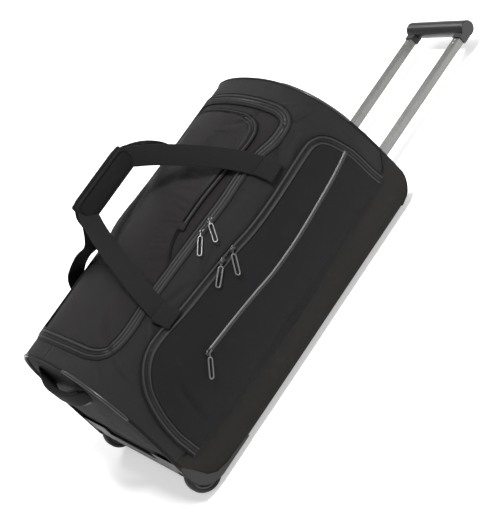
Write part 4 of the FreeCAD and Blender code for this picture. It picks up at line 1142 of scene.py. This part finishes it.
def anchor_patch(name, station, rear):
    """The sewn end of a carry webbing: a flat rectangle that leans a little."""
    u, v = np.meshgrid(np.linspace(-PATCH_HALF, PATCH_HALF, 14),
                       np.linspace(PATCH_LOW, PATCH_HIGH, 14))
    lean = 0.004 * (0.5 - (v - PATCH_LOW) / (PATCH_HIGH - PATCH_LOW))
    s = GIRTH - v if rear else v
    obj = grid_piece(name, skin(station + u + lean, s, PATCH_LIFT), np.stack([u, v], axis=-1),
                     flip=not rear)
    return finish_piece(thicken(obj, 0.0024), "bag", WEBBING, slot="webbing")


def patch_cross(name, station, rear):
    """Boxed cross of stitches on a webbing patch: seven straight runs."""
    west, east = station - CROSS_HALF, station + CROSS_HALF
    corners = np.array([(west, CROSS_LOW), (east, CROSS_LOW), (east, CROSS_HIGH),
                        (west, CROSS_HIGH), (west, CROSS_LOW), (east, CROSS_HIGH),
                        (east, CROSS_LOW), (west, CROSS_HIGH)])
    if rear:
        corners = mirrored(corners)
    runs = [frames_on_bag(respace(corners[i:i + 2], 7), CROSS_LIFT) for i in range(7)]
    frames = tuple(np.vstack(rows) for rows in zip(*runs))
    finish_piece(small_blocks(name, frames, (0.0028, 0.0009, 0.0007)), "bag", THREAD,
                 slot="webbing")


def carry_route(side):
    """Webbing loop of one carry handle, anchor to grip to anchor; the rear one sags."""
    legs = []
    for foot, pad, leg in ((CARRY_LOW, PAD_LOW, CARRY_RISE if side < 0 else REAR_DROP),
                           (CARRY_HIGH, PAD_HIGH, CARRY_RISE)):
        legs.append([(foot + share * (pad - foot), side * y, z) for share, y, z in leg])
    middle = ((PAD_LOW + PAD_HIGH) / 2, side * GRIP_Y, GRIP_Z)
    line = flow([*legs[0], middle, *reversed(legs[1])], 150)
    return to_frame(line[:, 0], line[:, 1], line[:, 2])


def carry_webbing(name, side):
    """Flat ribbed webbing swept along the loop, its face turned outwards, and a little
    upwards towards its feet."""
    path = carry_route(side)
    share = np.abs(np.linspace(-1, 1, len(path)))
    facing = np.stack([0 * share, np.full(len(path), side), 0.25 * share], axis=1)
    return sweep(name, path, facing, pill_loop(0.038, 0.0026, 0.0011, 4))


for word, side in (("front", FRONT), ("rear", REAR)):
    rear = side == REAR
    finish_piece(carry_webbing(f"carry_webbing_{word}", side), f"carry_{word}", WEBBING,
                 f"carry_strap_{word}", slot="webbing")
    for place, station in (("wheel_side", CARRY_LOW), ("handle_side", CARRY_HIGH)):
        patch = anchor_patch(f"webbing_patch_{word}_{place}", station, rear)
        patch_cross(f"patch_cross_{word}_{place}", station, rear)
        if word == "front" and place == "wheel_side":
            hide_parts("strap_anchors")


PAD_RINGS, PAD_AROUND = 64, 44


def grip_wrap(word):
    """One padded half of the carry grip: a long closed cushion, its section a
    superellipse that shrinks at both rounded ends, inside its CAD node's box."""
    low, high = (np.array(corner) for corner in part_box(f"carry_pad_{word}"))
    middle, half = (low + high) / 2, (high - low) / 2
    t = np.linspace(-1, 1, PAD_RINGS)
    end = ((1 - np.abs(t) ** 7) ** (1 / 2.6))[:, None]
    a = np.linspace(0, 2 * np.pi, PAD_AROUND, endpoint=False)
    c, s = np.cos(a), np.sin(a)
    y = np.sign(c) * np.abs(c) ** 0.75 * (half[1] - 0.002)
    z = np.sign(s) * np.abs(s) ** 0.62 * (half[2] - 0.002)
    x = middle[0] + np.sin(t * np.pi / 2) * (half[0] - 0.001)
    points = np.stack(np.broadcast_arrays(
        x[:, None], middle[1] + y * (0.25 + 0.75 * end), middle[2] + z * (0.55 + 0.45 * end),
    ), axis=-1)
    uv = np.stack(np.meshgrid(np.linspace(0, 0.12, PAD_AROUND), x), axis=-1)
    obj = grid_piece(f"grip_wrap_{word}", points, uv, wrap_columns=True)
    close_ring(obj, 0, PAD_AROUND, False)
    close_ring(obj, (PAD_RINGS - 1) * PAD_AROUND, PAD_AROUND, True)
    return obj


def grip_binding(word, side, inset=0.004, stand=0.0045):
    """Corded binding round one half of the grip: a rounded rectangle just inside the
    outline of its CAD node."""
    low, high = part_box(f"carry_pad_{word}")
    west, east, foot, top = low.x + inset, high.x - inset, low.z + inset, high.z - inset
    middle = ((low.x + high.x) / 2, foot)
    ring = rounded_route([middle, (east, foot), (east, top), (west, top), (west, foot), middle],
                         0.014, 150)[:-1]
    y = np.full(len(ring), (low.y + high.y) / 2 + side * stand)
    line = np.stack([ring[:, 0], y, ring[:, 1]], axis=1)
    return sweep(f"grip_binding_{word}", line, line - line.mean(axis=0), round_loop(0.0019, 8),
                 closed=True)


for word, side in (("front", FRONT), ("rear", REAR)):
    wrap = grip_wrap(word)
    settle(wrap, [], pressure=1.5, spare=0.02, cap=0.0016)
    finish_piece(wrap, f"carry_{word}", PADDING, f"carry_pad_{word}", slot="grip_padding")
    finish_piece(grip_binding(word, side), f"carry_{word}", PIPING_PAINTED_SHADE, slot="grip_padding")

# --------------------------------------------------------------------- grab handles

GRAB_STEPS, GRAB_HALF, GRAB_BULGE = 90, 0.097, 0.0225
GRAB_EDGE = 0.0165     # height of its corded edges from its middle
FOOT_STEPS = 16


def grab_path(edge, outward, level):
    """An arched handle across an end, its feet on the cloth: it stands off as one less
    a power of the way to a foot, and hangs 6 mm at the middle."""
    t = np.linspace(-1, 1, GRAB_STEPS)
    y, z = t * GRAB_HALF, level - 0.006 * (1 - t ** 2)
    x = edge(y, z) + outward * (0.002 + GRAB_BULGE * (1 - np.abs(t) ** 2.6))
    return to_frame(x, y, z)


def grab_handle(name, edge, outward, node, level):
    """Padded grab handle: a cushion section carried along the arch, thinner at its
    feet, with two corded edges and a cloth patch round each foot."""
    path, facing = grab_path(edge, outward, level), (outward, 0, 0)
    t = np.linspace(-1, 1, GRAB_STEPS)
    body = sweep(name, path, facing, pill_loop(0.036, 0.0125, 0.006, 7),
                 taper=1 - 0.42 * np.abs(t) ** 6)
    body.data.flip_normals()     # pressed in while it settles, not blown up
    settle(body, [], pressure=1.2, spare=0.015, cap=0.001)
    body.data.flip_normals()
    finish_piece(body, "bag", PADDING, node, slot="grip_padding")
    # the lower cord is pale, a painted highlight along the handle's lower edge; the upper one is
    # near-black, painted shade in the recess under the rim
    for number, (shift, cloth) in enumerate(((-GRAB_EDGE, TAPE_PAINTED_HIGHLIGHT), (GRAB_EDGE, PIPING_PAINTED_SHADE))):
        line = (path + np.array([0, 0, shift]) + np.array([outward * 0.0022, 0, 0]))[4:-4]
        finish_piece(sweep(f"{name}_cord_{number}", line, facing, round_loop(0.0017, 8)), "bag",
                     cloth, slot="grip_padding")
    for number, foot in enumerate((path[:FOOT_STEPS], path[-FOOT_STEPS:])):
        line = foot + np.array([outward * -0.001, 0, 0])
        finish_piece(sweep(f"{name}_foot_{number}", line, facing,
                           pill_loop(0.044, 0.0035, 0.0016, 4)),
                     "bag", CHARCOAL, slot="grip_padding")


grab_handle("grab_wheel_end", wheel_edge, -1, "grab_handle_wheel_end", 0.253)
grab_handle("grab_top_end", handle_edge, 1, "grab_handle_top_end", 0.243)

# ---------------------------------------------------------------------- edge guards

GUARD_STEPS = 60


def edge_guard(name, edge, outward, low, high):
    """A glossy bar along the rim between two girths: rounded, and tapered into the
    piping at its ends."""
    y, z, ny, nz = across(np.linspace(low, high, GUARD_STEPS))
    line = to_frame(edge(y, z) + outward * 0.0022, y + ny * 0.0012, z + nz * 0.0012)
    t = np.linspace(-1, 1, GUARD_STEPS)
    facing = np.stack([np.full(GUARD_STEPS, outward * 0.6), ny, nz], axis=1)
    bar = sweep(name, line, facing, pill_loop(0.0062, 0.0052, 0.0022, 5),
                taper=(1 - np.abs(t) ** 10) ** 0.35 * 0.97 + 0.03)
    return finish_piece(bar, "bag", GUARD, slot="gloss_guard")


for end, edge, outward, low, high in (("wheel", wheel_edge, -1, 0.214, 0.382),
                                      ("handle", handle_edge, 1, 0.193, 0.352)):
    front_guard = edge_guard(f"guard_{end}_front", edge, outward, low, high)
    edge_guard(f"guard_{end}_rear", edge, outward, GIRTH - high, GIRTH - low)
    if end == "wheel":
        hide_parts("edge_guards")

# ---------------------------------------------------------------- sliders and pulls

JOINTS = {joint["name"]: joint for joint in frame["record"]["behaviour"]["joints"]}
ALONG_BAG = np.array([1.0, 0, 0])
SLIDER_CLEAR, ROOT_CLEAR, TIP_CLEAR = 0.0042, 0.0062, 0.0030     # heights off the cloth
PULL_LENGTH, PULL_WIDTH = 0.040, 0.0102


def slider_body(name, centre, along, left, outward):
    """A zip slider: a rounded body that narrows towards its ends, and a bridge that
    arches over it."""
    t = np.linspace(-1, 1, 19)
    end = 1 - 0.3 * (np.abs(t) > 0.95)
    body = sweep(name, centre + along * (t * 0.0066)[:, None], outward,
                 pill_loop(0.0084, 0.0030, 0.0012, 4),
                 taper=(0.62 + 0.38 * np.abs(np.sin(t * np.pi * 0.5 + 0.35))) * end)
    a = np.linspace(0, np.pi, 17)
    arch = (centre + along * (0.0050 * np.cos(a))[:, None]
            + outward * (0.0012 + 0.0032 * np.sin(a))[:, None])
    bridge = sweep(f"{name}_bridge", arch, left, pill_loop(0.0011, 0.0030, 0.0005, 3))
    return body, bridge


def pull_ring(name, start, along, outward, bar=0.0014):
    """A moulded puller: a flattened ring round a long slot, two straight sides joined
    by half circles."""
    a = np.linspace(-np.pi / 2, np.pi / 2, 14)
    straight, near, half = PULL_LENGTH - PULL_WIDTH, PULL_WIDTH / 2, PULL_WIDTH / 2 - bar
    tip = np.stack([near + straight + half * np.cos(a), half * np.sin(a)], axis=1)
    root = np.stack([near - half * np.cos(a), -half * np.sin(a)], axis=1)
    flat = respace(np.vstack([tip, root, tip[:1]]), 60)[:-1]
    line = start + along * flat[:, :1] + np.cross(outward, along) * flat[:, 1:2]
    return sweep(name, line, outward, pill_loop(0.0026, 0.0024, 0.0009, 4), closed=True)


def above_cloth(point, clearance):
    """The point raised straight out of the cloth until it is a clearance above it."""
    x = np.full(400, point[0] - STATION_ZERO)
    s = np.linspace(0.09, 0.40, 400)
    lift = np.where(s < SEAM - 0.03, pocket_lift(x, s), 0.0)
    surface = skin(x, s, lift)
    nearest = np.argmin(np.linalg.norm(surface - point, axis=1))
    _, _, ny, nz = across(s[nearest])
    normal = np.array([0, ny, nz])
    height = (point - surface[nearest]) @ normal
    return point + normal * max(0.0, clearance - height)


def node_middle(node):
    low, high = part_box(node)
    return np.array((low + high) / 2)


def toward(vector):
    """One vector scaled to length one."""
    return vector / np.linalg.norm(vector)


for zip_name in ("lid_a", "lid_b", "pocket_a", "pocket_b", "quick"):
    slider_name, pull_name = f"slider_{zip_name}", f"pull_{zip_name}"
    hinge = JOINTS[f"{pull_name}_hinge"]
    hinge_line, hinge_at = np.array(hinge["axis"]), np.array(hinge["pos_m"])
    hang = node_middle(f"zip_{pull_name}") - hinge_at
    hang = toward(hang - hinge_line * (hang @ hinge_line))
    outward = np.cross(hinge_line, hang)
    centre = above_cloth(node_middle(f"zip_{slider_name}"), SLIDER_CLEAR)
    body, bridge = slider_body(slider_name, centre, ALONG_BAG,
                               toward(np.cross(outward, ALONG_BAG)), outward)
    finish_piece(body, slider_name, NICKEL, f"zip_{slider_name}", slot="zip_metal")
    finish_piece(bridge, slider_name, NICKEL, slot="zip_metal")
    start = above_cloth(hinge_at - hang * 0.001, ROOT_CLEAR)
    hang = toward(above_cloth(start + hang * PULL_LENGTH, TIP_CLEAR) - start)
    outward = toward(np.cross(hinge_line, hang))
    finish_piece(pull_ring(pull_name, start, hang, outward), pull_name, PULL,
                 f"zip_{pull_name}", slot="pull_plastic")
    reach = np.linspace(0.002, np.linalg.norm(start - centre) + 0.002, 8)[:, None]
    link = sweep(f"link_{zip_name}", centre + outward * 0.0022 + hang * reach, outward,
                 pill_loop(0.0034, 0.0011, 0.0005, 3))
    finish_piece(link, slider_name, NICKEL, slot="zip_metal")

# -------------------------------------------------------- finishes of the CAD nodes

CAD_FINISH = (
    (SKID, "corner_skid base_foot_front base_foot_rear handle_bezel"),
    (BOARD, "base_board trolley_cover tube_socket_bar"),
    (TYRE, "wheel_tyre_front wheel_tyre_rear"),
    (HUB, "wheel_hub_front wheel_hub_rear"),
    (STEEL, "wheel_bearing_front wheel_bearing_rear axle_pin_front axle_pin_rear "
            "lock_pin_front lock_pin_rear push_rod_front push_rod_rear housing_screws "
            "tube_rivets"),
    (TUBE, "outer_tube_front outer_tube_rear inner_tube_front inner_tube_rear"),
    (BLACK_PLASTIC, "tube_plug_front tube_plug_rear tube_bush_front tube_bush_rear "
                    "release_bar"),
    (GRIP, "grip_lower_shell grip_upper_shell grip_button"),
)
for material, nodes in CAD_FINISH:
    for node in nodes.split():
        mesh = frame["nodes"][node].data
        mesh.materials.clear()
        mesh.materials.append(material)
